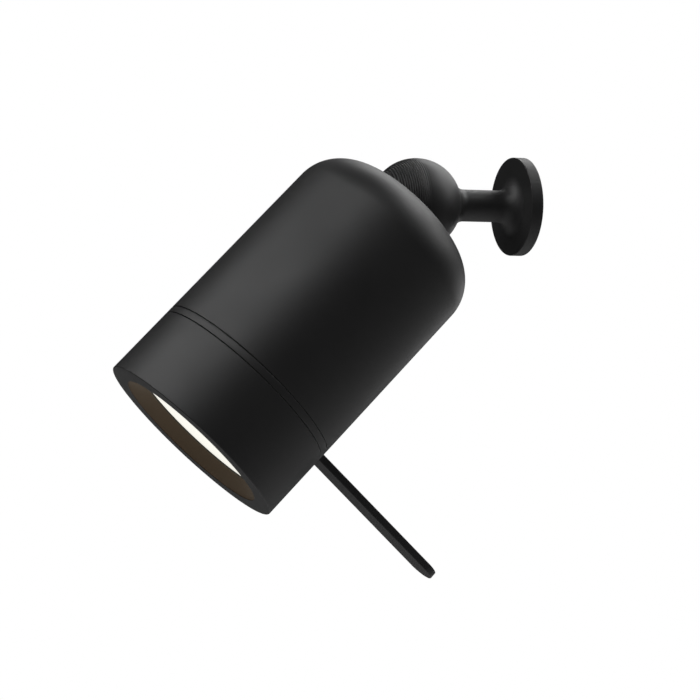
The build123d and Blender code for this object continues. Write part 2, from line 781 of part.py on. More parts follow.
# Washer and nut on the neck
with BuildPart() as neck_washer:
    with BuildSketch(head_plane.offset(plate_front)):
        Circle(neck_washer_outer)
        Circle(neck_radius + thread_fit, mode=Mode.SUBTRACT)
    extrude(amount=neck_washer_thick)
neck_washer.part.label = "neck_washer"
export_step(neck_washer.part, "parts/neck_washer.step")

with BuildPart() as neck_nut:
    with BuildSketch(head_plane.offset(nut_rear)):
        RegularPolygon(radius=nut_flats, side_count=6, major_radius=False)
        Circle(neck_radius + thread_fit, mode=Mode.SUBTRACT)
    extrude(amount=nut_thick)
neck_nut.part.label = "neck_nut"
export_step(neck_nut.part, "parts/neck_nut.step")

# Driver bracket: an angle of sheet metal, its foot on the neck plate and its arm under the driver
with BuildPart() as driver_bracket:
    with BuildSketch(head_plane.offset(plate_front)):
        with Locations((0, bracket_foot_middle)):
            Rectangle(bracket_width, bracket_foot_top - driver_bottom + bracket_thick)
    extrude(amount=bracket_thick)
    with BuildSketch(head_plane.offset(plate_front)):
        with Locations((0, driver_bottom - bracket_thick / 2)):
            Rectangle(bracket_width, bracket_thick)
    extrude(amount=driver_front - plate_front)
    with BuildSketch(head_plane.offset(plate_front)):
        with foot_screw_spots:
            Circle(bracket_screw_shank + thread_fit)
    extrude(amount=bracket_thick, mode=Mode.SUBTRACT)
    arm_plane = Plane(
        origin=head_plane.from_local_coords(
            Vector(0, driver_bottom - bracket_thick, driver_rear + driver_length / 2)
        ),
        x_dir=(1, 0, 0),
        z_dir=head_plane.y_dir * -1,
    )
    with BuildSketch(arm_plane):
        with GridLocations(0, driver_length / 2, 1, 2):
            Circle(bracket_screw_shank + thread_fit)
    extrude(amount=-bracket_thick, mode=Mode.SUBTRACT)
driver_bracket.part.label = "driver_bracket"
export_step(driver_bracket.part, "parts/driver_bracket.step")

# Screws of the driver bracket: two into the neck plate, two into the driver
bracket_foot_screws = screws(
    head_plane.offset(plate_front + bracket_thick),
    foot_screw_spots,
    bracket_screw_head,
    bracket_screw_head_high,
    bracket_screw_shank,
    bracket_foot_screw_length,
)
bracket_foot_screws.part.label = "bracket_foot_screws"
export_step(bracket_foot_screws.part, "parts/bracket_foot_screws.step")

driver_screws = screws(
    arm_plane,
    GridLocations(0, driver_length / 2, 1, 2),
    bracket_screw_head,
    bracket_screw_head_high,
    bracket_screw_shank,
    bracket_arm_screw_length,
)
driver_screws.part.label = "driver_screws"
export_step(driver_screws.part, "parts/driver_screws.step")

# Driver: a sealed box beside the head's axis
with BuildPart() as driver:
    with BuildSketch(head_plane.offset(driver_rear)):
        with Locations((0, (driver_top + driver_bottom) / 2)):
            RectangleRounded(driver_width, driver_top - driver_bottom, driver_corner)
    extrude(amount=driver_length)
    with BuildSketch(arm_plane):
        with GridLocations(0, driver_length / 2, 1, 2):
            Circle(bracket_screw_shank + thread_fit)
    extrude(amount=-bracket_arm_screw_length - 0.5, mode=Mode.SUBTRACT)
driver.part.label = "driver"
export_step(driver.part, "parts/driver.step")

# Terminal block on the driver, where the supply lead ends
terminal_rear = driver_rear + (driver_length - terminal_length) / 2
with BuildPart() as terminal_block:
    with BuildSketch(head_plane.offset(terminal_rear)):
        with Locations((0, driver_top + terminal_high / 2)):
            Rectangle(terminal_width, terminal_high)
    extrude(amount=terminal_length)
    terminal_top = Plane(
        origin=head_plane.from_local_coords(
            Vector(0, driver_top + terminal_high, terminal_rear + terminal_length / 2)
        ),
        x_dir=(1, 0, 0),
        z_dir=head_plane.y_dir,
    )
    with BuildSketch(terminal_top):
        with GridLocations(terminal_width / 3, 0, 3, 1):
            Circle(terminal_screw)
    extrude(amount=-terminal_high / 4, mode=Mode.SUBTRACT)
terminal_block.part.label = "terminal_block"
export_step(terminal_block.part, "parts/terminal_block.step")

# Supply lead inside the head, from the knuckle through the neck to the terminal block
head_lead_start = eye_radius * 0.6
with BuildPart() as head_lead:
    with BuildSketch(head_plane.offset(head_lead_start)):
        Circle(lead_radius)
    extrude(amount=terminal_rear - head_lead_start)
head_lead.part.label = "head_lead"
export_step(head_lead.part, "parts/head_lead.step")

# Ring carrier: screwed into the shell, it has the ring's land, a ledge and the sleeve's thread
carrier_front = sleeve_rear + spigot_length
o_ring_middle = (ring_rear + ring_front) / 2
o_ring_groove = land_radius - 2 * o_ring_radius - face_gap
with BuildPart() as ring_carrier:
    with BuildSketch(head_profile):
        with BuildLine():
            Polyline(
                (carrier_outer, carrier_rear + face_gap),
                (carrier_outer, shell_front),
                (land_radius, shell_front),
                (land_radius, o_ring_middle - o_ring_radius - face_gap),
                (o_ring_groove, o_ring_middle - o_ring_radius - face_gap),
                (o_ring_groove, o_ring_middle + o_ring_radius + face_gap),
                (land_radius, o_ring_middle + o_ring_radius + face_gap),
                (land_radius, carrier_front),
                (carrier_inner, carrier_front),
                (carrier_inner, ledge_front),
                (ledge_inner, ledge_front),
                (ledge_inner, ledge_rear),
                (carrier_inner, ledge_rear),
                (carrier_inner, carrier_rear + face_gap),
                close=True,
            )
        make_face()
    revolve(axis=head_axis)
    with BuildSketch(head_plane.offset(shell_front)):
        with Locations((0, ring_pin_circle)):
            Circle(ring_pin_radius + thread_fit)
    extrude(amount=-ring_pin_depth, mode=Mode.SUBTRACT)
    with BuildSketch(head_plane.offset(ledge_front)):
        with PolarLocations(sink_screw_circle, 3, start_angle=90):
            Circle(sink_screw_shank + thread_fit)
    extrude(amount=-ledge_thick, mode=Mode.SUBTRACT)
ring_carrier.part.label = "ring_carrier"
export_step(ring_carrier.part, "parts/ring_carrier.step")

# Stop pin of the lever ring
with BuildPart() as ring_stop_pin:
    with BuildSketch(head_plane.offset(shell_front - ring_pin_depth)):
        with Locations((0, ring_pin_circle)):
            Circle(ring_pin_radius)
    extrude(amount=ring_pin_depth + ring_gap + ring_pin_reach)
ring_stop_pin.part.label = "ring_stop_pin"
export_step(ring_stop_pin.part, "parts/ring_stop_pin.step")

# O-ring that gives the lever ring its drag
with BuildPart() as ring_o_ring:
    with BuildSketch(head_profile):
        with Locations((land_radius - o_ring_radius, o_ring_middle)):
            Circle(o_ring_radius)
    revolve(axis=head_axis)
ring_o_ring.part.label = "ring_o_ring"
export_step(ring_o_ring.part, "parts/ring_o_ring.step")

# Slip washers: thin plastic rings either side of the lever ring, set back in the two grooves
with BuildPart() as ring_slip_washers:
    for washer_rear in (shell_front, ring_front + face_gap):
        with BuildSketch(head_plane.offset(washer_rear)):
            Circle(head_radius - slip_washer_inset)
            Circle(head_radius - slip_washer_inset - slip_washer_width, mode=Mode.SUBTRACT)
        extrude(amount=ring_gap - face_gap)
ring_slip_washers.part.label = "ring_slip_washers"
export_step(ring_slip_washers.part, "parts/ring_slip_washers.step")

# Lever ring: one flat piece, the narrow ring and the lever that turns it
pin_groove_half = ring_pin_radius + free_gap
pin_groove_span = ring_turn + degrees(asin(pin_groove_half / ring_pin_circle)) + 1
lever_round = lever_width / 2
with BuildPart() as lever_ring:
    with BuildSketch(head_plane.offset(ring_rear)) as lever_outline:
        Circle(head_radius)
        with Locations((0, -(lever_reach - lever_round) / 2)):
            Rectangle(lever_width, lever_reach - lever_round)
        with Locations((0, -(lever_reach - lever_round))):
            Circle(lever_round)
        lever_roots = lever_outline.vertices().filter_by(
            lambda corner: abs(Vector(corner.X, corner.Y).length - head_radius) < 0.01
            and abs(corner.X) < lever_width
        )
        fillet(lever_roots, lever_root_radius)
    extrude(amount=ring_thick)
    lever_rims = lever_ring.edges().filter_by(
        lambda edge: abs((edge @ 0 - edge @ 1).dot(head_direction)) < 0.01
    )
    fillet(lever_rims, ring_edge)
    with BuildSketch(head_plane.offset(ring_rear)):
        Circle(ring_inner)
    extrude(amount=ring_thick, mode=Mode.SUBTRACT)
    with BuildSketch(head_plane.offset(ring_rear)):
        with BuildLine():
            pin_inner = CenterArc(
                (0, 0), ring_pin_circle - pin_groove_half, 90 - pin_groove_span, 2 * pin_groove_span
            )
            pin_outer = CenterArc(
                (0, 0), ring_pin_circle + pin_groove_half, 90 - pin_groove_span, 2 * pin_groove_span
            )
            Line(pin_inner @ 0, pin_outer @ 0)
            Line(pin_inner @ 1, pin_outer @ 1)
        make_face()
    extrude(amount=ring_groove_depth, mode=Mode.SUBTRACT)
    for magnet_side in (-magnet_angle, magnet_angle):
        magnet_plane = Plane(
            origin=head_plane.from_local_coords(Vector(0, 0, o_ring_middle)),
            x_dir=head_direction,
            z_dir=head_plane.y_dir.rotate(Axis((0, 0, 0), head_direction), 180 + magnet_side),
        )
        with BuildSketch(magnet_plane.offset(ring_inner - 1)):
            Circle(magnet_radius + thread_fit)
        extrude(amount=1 + magnet_sunk + magnet_length + thread_fit, mode=Mode.SUBTRACT)
lever_ring.part.label = "lever_ring"
export_step(lever_ring.part, "parts/lever_ring.step")

# Two magnets pressed into the ring from inside
with BuildPart() as ring_magnets:
    for magnet_side in (-magnet_angle, magnet_angle):
        magnet_plane = Plane(
            origin=head_plane.from_local_coords(Vector(0, 0, o_ring_middle)),
            x_dir=head_direction,
            z_dir=head_plane.y_dir.rotate(Axis((0, 0, 0), head_direction), 180 + magnet_side),
        )
        with BuildSketch(magnet_plane.offset(ring_inner + magnet_sunk)):
            Circle(magnet_radius)
        extrude(amount=magnet_length)
ring_magnets.part.label = "ring_magnets"
export_step(ring_magnets.part, "parts/ring_magnets.step")

# Heat sink: a round base against the ledge, with straight fins behind it
with BuildPart() as heat_sink:
    with BuildSketch(head_plane.offset(sink_rear)):
        Circle(sink_radius)
    extrude(amount=sink_base_thick)
    with BuildSketch(head_plane.offset(sink_rear)):
        with GridLocations(0, fin_pitch, 1, fin_count):
            Rectangle(2 * sink_radius, fin_thick)
        Circle(sink_radius - fin_margin, mode=Mode.INTERSECT)
    extrude(amount=-fin_height)
    with BuildSketch(head_plane.offset(sink_front)):
        Circle(wire_hole)
        with PolarLocations(board_screw_circle, 3, start_angle=30):
            Circle(board_screw_shank + thread_fit)
        with PolarLocations(sink_screw_circle, 3, start_angle=90):
            Circle(sink_screw_shank + thread_fit)
    extrude(amount=-sink_base_thick, mode=Mode.SUBTRACT)
heat_sink.part.label = "heat_sink"
export_step(heat_sink.part, "parts/heat_sink.step")

# Three screws through the ledge into the heat sink
heat_sink_screws = screws(
    head_plane.offset(ledge_front),
    PolarLocations(sink_screw_circle, 3, start_angle=90),
    sink_screw_head,
    sink_screw_head_high,
    sink_screw_shank,
    sink_screw_length,
)
heat_sink_screws.part.label = "heat_sink_screws"
export_step(heat_sink_screws.part, "parts/heat_sink_screws.step")

# LED board on the heat sink's front face
with BuildPart() as led_board:
    with BuildSketch(head_plane.offset(sink_front)):
        Circle(board_radius)
        with Locations((wire_spacing / 2, 0), (-wire_spacing / 2, 0)):
            Circle(wire_radius + thread_fit, mode=Mode.SUBTRACT)
        with PolarLocations(board_screw_circle, 3, start_angle=30):
            Circle(board_screw_shank + thread_fit, mode=Mode.SUBTRACT)
    extrude(amount=board_thick)
led_board.part.label = "led_board"
export_step(led_board.part, "parts/led_board.step")

# LEDs: square packages on three circles
with BuildPart() as led_chips:
    with BuildSketch(head_plane.offset(board_front)):
        for chip_circle, chip_count in chip_circles:
            with PolarLocations(chip_circle * board_radius, chip_count, start_angle=180 / chip_count):
                Rectangle(chip_size, chip_size)
    extrude(amount=chip_high)
led_chips.part.label = "led_chips"
export_step(led_chips.part, "parts/led_chips.step")

# Three screws of the LED board
led_board_screws = screws(
    head_plane.offset(board_front),
    PolarLocations(board_screw_circle, 3, start_angle=30),
    board_screw_head,
    board_screw_head_high,
    board_screw_shank,
    board_screw_length,
)
led_board_screws.part.label = "led_board_screws"
export_step(led_board_screws.part, "parts/led_board_screws.step")

# Two wires from the driver's front face, through the heat sink, into the LED board
wire_low = driver_top - 1.2 * wire_bend
with BuildPart() as led_wires:
    for wire_side in (-wire_spacing / 2, wire_spacing / 2):
        with BuildLine(head_plane):
            wire_path = FilletPolyline(
                (wire_side, wire_low, driver_front),
                (wire_side, wire_low, driver_front + wire_bend),
                (wire_side, 0, driver_front + 2 * wire_bend),
                (wire_side, 0, board_front),
                radius=wire_bend / 2,
            )
        with BuildSketch(Plane(origin=wire_path @ 0, x_dir=(1, 0, 0), z_dir=wire_path % 0)):
            Circle(wire_radius)
        sweep(path=wire_path)
led_wires.part.label = "led_wires"
export_step(led_wires.part, "parts/led_wires.step")

# Sensor board: a curved strip on the ledge that reads the ring's magnets
sensor_middle = ledge_inner + ledge_width / 2
with BuildPart() as sensor_board:
    with BuildSketch(head_plane.offset(ledge_front)):
        with BuildLine():
            sensor_inner = CenterArc(
                (0, 0), sensor_middle - sensor_width / 2, 270 - sensor_angle / 2, sensor_angle
            )
            sensor_outer = CenterArc(
                (0, 0), sensor_middle + sensor_width / 2, 270 - sensor_angle / 2, sensor_angle
            )
            Line(sensor_inner @ 0, sensor_outer @ 0)
            Line(sensor_inner @ 1, sensor_outer @ 1)
        make_face()
    extrude(amount=sensor_thick)
sensor_board.part.label = "sensor_board"
export_step(sensor_board.part, "parts/sensor_board.step")

# Reflector: a cone from the LED board to the diffuser, with a rim that presses the diffuser forward
reflector_inner = board_radius - reflector_inset
reflector_top = diffuser_radius - reflector_rim
reflector = turned(
    head_profile,
    head_axis,
    (
        (reflector_inner, board_front),
        (reflector_inner + reflector_wall, board_front),
        (reflector_inner + reflector_wall, board_front + reflector_foot),
        (reflector_top + reflector_wall, diffuser_rear - reflector_wall),
        (diffuser_radius, diffuser_rear - reflector_wall),
        (diffuser_radius, diffuser_rear),
        (reflector_top, diffuser_rear),
        (reflector_top, diffuser_rear - reflector_wall),
        (reflector_inner, board_front + reflector_foot),
    ),
)
reflector.part.label = "reflector"
export_step(reflector.part, "parts/reflector.step")

# Diffuser: an opal disc set back behind the mouth
with BuildPart() as diffuser:
    with BuildSketch(head_plane.offset(diffuser_rear)):
        Circle(diffuser_radius)
    extrude(amount=diffuser_thick)
    fillet(diffuser.edges().filter_by(GeomType.CIRCLE), diffuser_edge)
diffuser.part.label = "diffuser"
export_step(diffuser.part, "parts/diffuser.step")

# Gasket between the diffuser and the sleeve's inner wall
with BuildPart() as diffuser_gasket:
    with BuildSketch(head_plane.offset(diffuser_front)):
        Circle(mouth_radius + drop_in_gap + gasket_width)
        Circle(mouth_radius + drop_in_gap, mode=Mode.SUBTRACT)
    extrude(amount=gasket_thick)
diffuser_gasket.part.label = "diffuser_gasket"
export_step(diffuser_gasket.part, "parts/diffuser_gasket.step")

# Front sleeve: the head's mouth, with a flat lip, an inner wall and a threaded collar at the ring
with BuildPart() as front_sleeve:
    with BuildSketch(head_profile):
        with BuildLine():
            Polyline(
                (head_radius, sleeve_rear),
                (head_radius, mouth),
                (mouth_radius, mouth),
                (mouth_radius, skirt_end),
                (mouth_radius + skirt_wall, skirt_end),
                (mouth_radius + skirt_wall, mouth - lip_thick),
                (sleeve_inner, mouth - lip_thick),
                (sleeve_inner, carrier_front),
                (collar_inner, carrier_front),
                (collar_inner, sleeve_rear),
                close=True,
            )
        make_face()
    revolve(axis=head_axis)
    lip_edges = front_sleeve.edges().filter_by(
        lambda edge: edge.geom_type == GeomType.CIRCLE
        and edge.radius > mouth_radius - 0.01
        and abs((edge.arc_center - ball_centre).dot(head_direction) - mouth) < 0.01
    )
    fillet(lip_edges, sleeve_edge)
    sleeve_back = front_sleeve.edges().filter_by(
        lambda edge: edge.geom_type == GeomType.CIRCLE and abs(edge.radius - head_radius) < 0.01
    )
    chamfer(sleeve_back.sort_by(head_axis)[0], ring_edge)
front_sleeve.part.label = "front_sleeve"
export_step(front_sleeve.part, "parts/front_sleeve.step")
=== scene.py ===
import math

import bpy
import numpy as np
from mathutils import Matrix, Vector


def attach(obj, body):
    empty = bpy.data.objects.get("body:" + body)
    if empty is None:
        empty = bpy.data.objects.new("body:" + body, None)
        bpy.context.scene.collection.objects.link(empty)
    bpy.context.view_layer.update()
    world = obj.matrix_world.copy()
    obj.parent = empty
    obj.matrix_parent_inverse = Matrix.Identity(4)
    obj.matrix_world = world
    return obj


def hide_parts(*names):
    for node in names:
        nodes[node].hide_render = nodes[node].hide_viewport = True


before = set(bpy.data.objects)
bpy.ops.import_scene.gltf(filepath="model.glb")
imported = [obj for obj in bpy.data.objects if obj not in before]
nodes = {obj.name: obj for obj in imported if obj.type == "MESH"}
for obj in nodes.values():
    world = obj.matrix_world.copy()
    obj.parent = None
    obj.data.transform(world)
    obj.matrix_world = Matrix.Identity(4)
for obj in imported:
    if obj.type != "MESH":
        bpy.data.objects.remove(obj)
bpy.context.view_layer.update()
mm = 0.001
print("frame loaded:", len(nodes), "nodes")

# Places that several pieces share, in millimetres
lamp = {
    "wallToBall": 57.6,
    "tiltDown": 45.0,
    "headRadius": 50.0,
    "ballRadius": 22.5,
    "stemRadius": 7.9,
    "shellFront": 120.88,
    "ringRear": 121.18,
    "ringFront": 124.85,
    "sleeveRear": 125.15,
    "mouth": 160.85,
    "mouthRadius": 40.0,
    "diffuserFront": 152.2,
}
tilt = math.radians(lamp["tiltDown"])
headAxis = (0.0, -math.cos(tilt), -math.sin(tilt))


def placeOf(origin, axis, right=(1, 0, 0)):
    # Four columns for a turned piece: right, up, axis and origin, with up = axis x right.
    axis, right = Vector(axis).normalized(), Vector(right).normalized()
    up = axis.cross(right)
    return np.array([right, up, axis, Vector(origin)], dtype=float)


ballCentre = (0.0, -lamp["wallToBall"], 0.0)
wallPlace = placeOf((0, 0, 0), (0, -1, 0))  # distance from the wall
ballPlace = placeOf(ballCentre, (0, 1, 0))  # distance from the ball's centre towards the wall
headPlace = placeOf(ballCentre, headAxis)  # distance from the ball's centre towards the mouth


def roundedOutline(corners, step=0.5, support=0.35):
    # Closed outline through (a, b, rounding) corners. A rounding r becomes the arc of radius r that touches
    # both sides: its tangent points lie r / tan(angle / 2) from the corner. Long sides get a support point
    # near each end.
    count = len(corners)
    points = []
    for index in range(count):
        here = np.array(corners[index][:2], dtype=float)
        rounding = corners[index][2]
        before = np.array(corners[index - 1][:2], dtype=float) - here
        after = np.array(corners[(index + 1) % count][:2], dtype=float) - here
        before /= np.linalg.norm(before)
        after /= np.linalg.norm(after)
        angle = math.acos(np.clip(before @ after, -1, 1))
        if rounding <= 0 or angle > math.pi - 0.01:
            points.append(here[None, :])
            continue
        reach = rounding / math.tan(angle / 2)
        middle = (before + after) / np.linalg.norm(before + after)
        centre = here + middle * rounding / math.sin(angle / 2)
        start, end = here + before * reach - centre, here + after * reach - centre
        sweep = math.pi - angle
        turns = np.linspace(0, 1, max(5, int(sweep * rounding / step) + 2))[:, None]
        arc = (np.sin((1 - turns) * sweep) * start + np.sin(turns * sweep) * end) / math.sin(sweep)
        points.append(centre + arc)
    outline = np.concatenate(points)
    following = np.roll(outline, -1, axis=0)
    length = np.linalg.norm(following - outline, axis=1)
    share = np.minimum(support / np.maximum(length, 1e-9), 0.5)[:, None]
    isLong = length > 4 * support
    nearStart = outline + (following - outline) * share
    nearEnd = following - (following - outline) * share
    order = np.repeat(np.arange(len(outline)), 1 + 2 * isLong)
    first = np.concatenate([[True], order[1:] != order[:-1]])
    rank = np.arange(len(order)) - np.maximum.accumulate(np.where(first, np.arange(len(order)), 0))
    return np.where(
        (rank == 0)[:, None], outline[order], np.where((rank == 1)[:, None], nearStart[order], nearEnd[order])
    )


def arcPoints(centre, radius, startDegrees, endDegrees, count):
    # Points (a, b) = centre + radius * (cos t, sin t), with t from start to end.
    t = np.radians(np.linspace(startDegrees, endDegrees, count))
    return np.stack([centre[0] + radius * np.cos(t), centre[1] + radius * np.sin(t)], axis=1)


sharpDegrees = 32.0  # an edge that bends more than this is drawn sharp
facets = {"head": 288, "ballFront": 224, "boss": 48, "smallHole": 32}  # once round


def makeObject(name, points, quads, triangles=None, smoothDegrees=sharpDegrees):
    # Mesh object from points in millimetres. The faces are turned round where the signed volume, the sum of
    # p0 . (p1 x p2) / 6 over all triangles, comes out negative, so that they point outwards.
    triangles = np.empty((0, 3), dtype=int) if triangles is None else triangles
    everyTriangle = np.concatenate([quads[:, [0, 1, 2]], quads[:, [0, 2, 3]], triangles])
    p0, p1, p2 = (points[everyTriangle[:, k]] for k in range(3))
    if np.einsum("ij,ij->i", p0, np.cross(p1, p2)).sum() < 0:
        quads, triangles = quads[:, ::-1], triangles[:, ::-1]
    mesh = bpy.data.meshes.new(name)
    mesh.from_pydata((points * mm).tolist(), [], quads.tolist() + triangles.tolist())
    mesh.polygons.foreach_set("use_smooth", np.ones(len(mesh.polygons), dtype=bool))
    mesh.set_sharp_from_angle(angle=math.radians(smoothDegrees))
    mesh.update()
    piece = bpy.data.objects.new(name, mesh)
    bpy.context.scene.collection.objects.link(piece)
    return piece


def wrapFaces(rows, columns, rowsClosed=True, first=0):
    # Quads of a grid whose columns close on themselves, and whose rows do too if rowsClosed.
    row = np.arange(rows if rowsClosed else rows - 1)[:, None]
    column = np.arange(columns)[None, :]
    nextRow, nextColumn = (row + 1) % rows, (column + 1) % columns
    quads = np.stack(
        [
            row * columns + column,
            row * columns + nextColumn,
            nextRow * columns + nextColumn,
            nextRow * columns + column,
        ],
        axis=-1,
    )
    return quads.reshape(-1, 4) + first


def turnedGrid(outline, place, segments):
    # Grid point(v, u) = origin + b(v) * axis + a(v) * (cos u * right + sin u * up), u once round.
    u = np.linspace(0, 2 * math.pi, segments, endpoint=False)
    ring = np.cos(u)[:, None] * place[0] + np.sin(u)[:, None] * place[1]
    along = outline[:, 1][:, None, None] * place[2]
    grid = place[3] + along + outline[:, 0][:, None, None] * ring[None, :, :]
    return grid.reshape(-1, 3)


def turnedPiece(name, outline, place, segments=256):
    # A ring-shaped piece: a closed outline of (radius, distance) carried once round the axis.
    return makeObject(name, turnedGrid(outline, place, segments), wrapFaces(len(outline), segments))


def fanFaces(pole, rowStart, segments, poleFirst):
    # Triangles between one point on the axis and the row that starts at rowStart.
    column = np.arange(segments)
    following = (column + 1) % segments
    points = np.full(segments, pole)
    if poleFirst:
        return np.stack([points, rowStart + following, rowStart + column], axis=1)
    return np.stack([points, rowStart + column, rowStart + following], axis=1)


def turnedDisc(name, outline, place, segments=256):
    # A piece that crosses the axis: an open outline, closed by one point on the axis at each end.
    grid = turnedGrid(outline, place, segments)
    poles = place[3] + np.outer(outline[[0, -1], 1], place[2])
    triangles = np.concatenate(
        [
            fanFaces(len(grid), 0, segments, True),
            fanFaces(len(grid) + 1, (len(outline) - 1) * segments, segments, False),
        ]
    )
    quads = wrapFaces(len(outline), segments, False)
    return makeObject(name, np.concatenate([grid, poles]), quads, triangles)


def turnedBowl(name, outer, inner, place, segments=256):
    # A bowl: the outer outline runs from the rim to the axis, the inner one from the axis back to the rim.
    grid = turnedGrid(np.concatenate([outer, inner]), place, segments)
    poles = place[3] + np.outer([outer[-1, 1], inner[0, 1]], place[2])
    innerStart = len(outer) * segments
    lastRow = innerStart + (len(inner) - 1) * segments
    column = np.arange(segments)
    following = (column + 1) % segments
    quads = np.concatenate(
        [
            wrapFaces(len(outer), segments, False),
            wrapFaces(len(inner), segments, False, innerStart),
            np.stack([lastRow + column, lastRow + following, following, column], axis=1),
        ]
    )
    triangles = np.concatenate(
        [
            fanFaces(len(grid), innerStart - segments, segments, False),
            fanFaces(len(grid) + 1, innerStart, segments, True),
        ]
    )
    return makeObject(name, np.concatenate([grid, poles]), quads, triangles)


def joined(name, pieces):
    # One object out of several meshes.
    bpy.ops.object.select_all(action="DESELECT")
    for piece in pieces:
        piece.select_set(True)
    bpy.context.view_layer.objects.active = pieces[0]
    bpy.ops.object.join()
    pieces[0].name = name
    pieces[0].data.name = name
    return pieces[0]


def roundBar(name, place, radius, start, end, segments=64):
    # A closed bar: a circle of that radius carried along the axis from start to end.
    return turnedDisc(name, np.array([(radius, start), (radius, end)]), place, segments)


def cutFrom(piece, cutters):
    # Takes the cutters out of a piece, one after another, and keeps the finished mesh.
    for cutter in cutters:
        cut = piece.modifiers.new("cut", "BOOLEAN")
        cut.operation = "DIFFERENCE"
        cut.solver = "EXACT"
        cut.object = cutter
        bpy.context.view_layer.update()
        mesh = bpy.data.meshes.new_from_object(piece.evaluated_get(bpy.context.evaluated_depsgraph_get()))
        piece.modifiers.clear()
        old, piece.data = piece.data, mesh
        bpy.data.meshes.remove(old)
        bpy.data.objects.remove(cutter, do_unlink=True)
    piece.data.polygons.foreach_set("use_smooth", np.ones(len(piece.data.polygons), dtype=bool))
    piece.data.set_sharp_from_angle(angle=math.radians(sharpDegrees))
    piece.data.name = piece.name


# Finishes

coat = {
    "blackCoat": {"colour": (0.017, 0.017, 0.0175), "roughness": 0.52, "specular": 0.7},
    "grainScale": 1500.0,  # noise cells per metre
    "grainHeight": 0.000012,
    "grainStrength": 0.07,
    "slowScale": 35.0,
    "slowDetail": 4.0,
    "lighter": 1.25,  # the colour's slow change goes up to this share of it
}
moulded = {"grainStrength": 0.3}


def addNode(tree, kind, values=None):
    # A node of that kind, with the values of its named inputs.
    node = tree.nodes.new(kind)
    for inputName, value in (values or {}).items():
        node.inputs[inputName].default_value = value
    return node


def newMaterial(name):
    # Material with one principled shader, and the object's own coordinates to place textures by.
    material = bpy.data.materials.new(name)
    material.use_nodes = True
    tree = material.node_tree
    tree.nodes.clear()
    output = addNode(tree, "ShaderNodeOutputMaterial")
    shader = addNode(tree, "ShaderNodeBsdfPrincipled")
    tree.links.new(shader.outputs["BSDF"], output.inputs["Surface"])
    place = addNode(tree, "ShaderNodeTexCoord")
    return material, tree, shader, place.outputs["Object"]


def noiseAt(tree, place, scale, detail=3.0):
    # Cloud-like noise, scale cells to the metre.
    noise = addNode(tree, "ShaderNodeTexNoise", {"Scale": scale, "Detail": detail})
    tree.links.new(place, noise.inputs["Vector"])
    return noise.outputs["Fac"]


def between(tree, factor, low, high):
    # Low to high as the noise goes from 0.3 to 0.7, where most of it lies.
    ends = {"From Min": 0.3, "From Max": 0.7, "To Min": low, "To Max": high}
    ramp = addNode(tree, "ShaderNodeMapRange", ends)
    tree.links.new(factor, ramp.inputs["Value"])
    return ramp.outputs["Result"]


def twoColours(tree, factor, first, second):
    # The first colour where the factor is 0, the second where it is 1.
    mix = tree.nodes.new("ShaderNodeMix")
    mix.data_type = "RGBA"
    mix.inputs["A"].default_value = (*first, 1)
    mix.inputs["B"].default_value = (*second, 1)
    tree.links.new(factor, mix.inputs["Factor"])
    return mix.outputs["Result"]


def bumpOf(tree, shader, height, strength, distance):
    # Tilts the shading as if the noise were relief, distance metres deep.
    bump = addNode(tree, "ShaderNodeBump", {"Strength": strength, "Distance": distance})
    tree.links.new(height, bump.inputs["Height"])
    tree.links.new(bump.outputs["Normal"], shader.inputs["Normal"])


def moveGloss(tree, shader, factor, roughness, spread):
    # Roughness runs from half the spread below its value to half the spread above it.
    ends = (roughness - spread / 2, roughness + spread / 2)
    tree.links.new(between(tree, factor, *ends), shader.inputs["Roughness"])


def coatedMetal(name, colour, roughness, specular, spread=0.06):
    # Powder coat: fine grain in the height, slow changes of colour and of gloss.
    material, tree, shader, place = newMaterial(name)
    shader.inputs["Specular IOR Level"].default_value = specular
    slow = noiseAt(tree, place, coat["slowScale"], coat["slowDetail"])
    grain = noiseAt(tree, place, coat["grainScale"], 2.0)
    lighter = tuple(c * coat["lighter"] for c in colour)
    tree.links.new(twoColours(tree, slow, colour, lighter), shader.inputs["Base Color"])
    moveGloss(tree, shader, slow, roughness, spread)
    bumpOf(tree, shader, grain, coat["grainStrength"], coat["grainHeight"])
    return material


def plainFinish(name, colour, roughness, metallic=0.0, scale=400.0, spread=0.08, height=0.00001, shade=0.85):
    # Moulded or machined finish: a fine grain moves colour, gloss and height a little.
    material, tree, shader, place = newMaterial(name)
    shader.inputs["Metallic"].default_value = metallic
    grain = noiseAt(tree, place, scale)
    darker = tuple(c * shade for c in colour)
    tree.links.new(twoColours(tree, grain, darker, colour), shader.inputs["Base Color"])
    moveGloss(tree, shader, grain, roughness, spread)
    bumpOf(tree, shader, grain, moulded["grainStrength"], height)
    return material


blackCoat = coatedMetal("black powder coat", **coat["blackCoat"])
blackTurned = coatedMetal("black coat on turned rings", **coat["blackCoat"])
blackLever = coatedMetal("black coat on the lever", **coat["blackCoat"])
bareAluminium = plainFinish("machined aluminium", (0.72, 0.72, 0.74), 0.35, 1.0, 900.0)
zincSteel = plainFinish("bright zinc", (0.62, 0.63, 0.65), 0.32, 1.0, 700.0)
darkScrew = plainFinish("black oxide", (0.04, 0.04, 0.045), 0.4, 0.8, 700.0)
springSteel = plainFinish("blued spring steel", (0.36, 0.37, 0.40), 0.3, 1.0, 700.0)
brassScrew = plainFinish("plain brass", (0.78, 0.60, 0.28), 0.3, 1.0, 700.0)
magnetNickel = plainFinish("nickel plate", (0.72, 0.70, 0.66), 0.2, 1.0, 700.0)
blackRubber = plainFinish("black rubber", (0.02, 0.02, 0.02), 0.7, 0.0, 1200.0)
darkSilicone = plainFinish("dark silicone", (0.030, 0.024, 0.016), 0.6, 0.0, 1200.0)
leadSheath = plainFinish("lead sheath", (0.03, 0.03, 0.03), 0.55, 0.0, 1200.0)
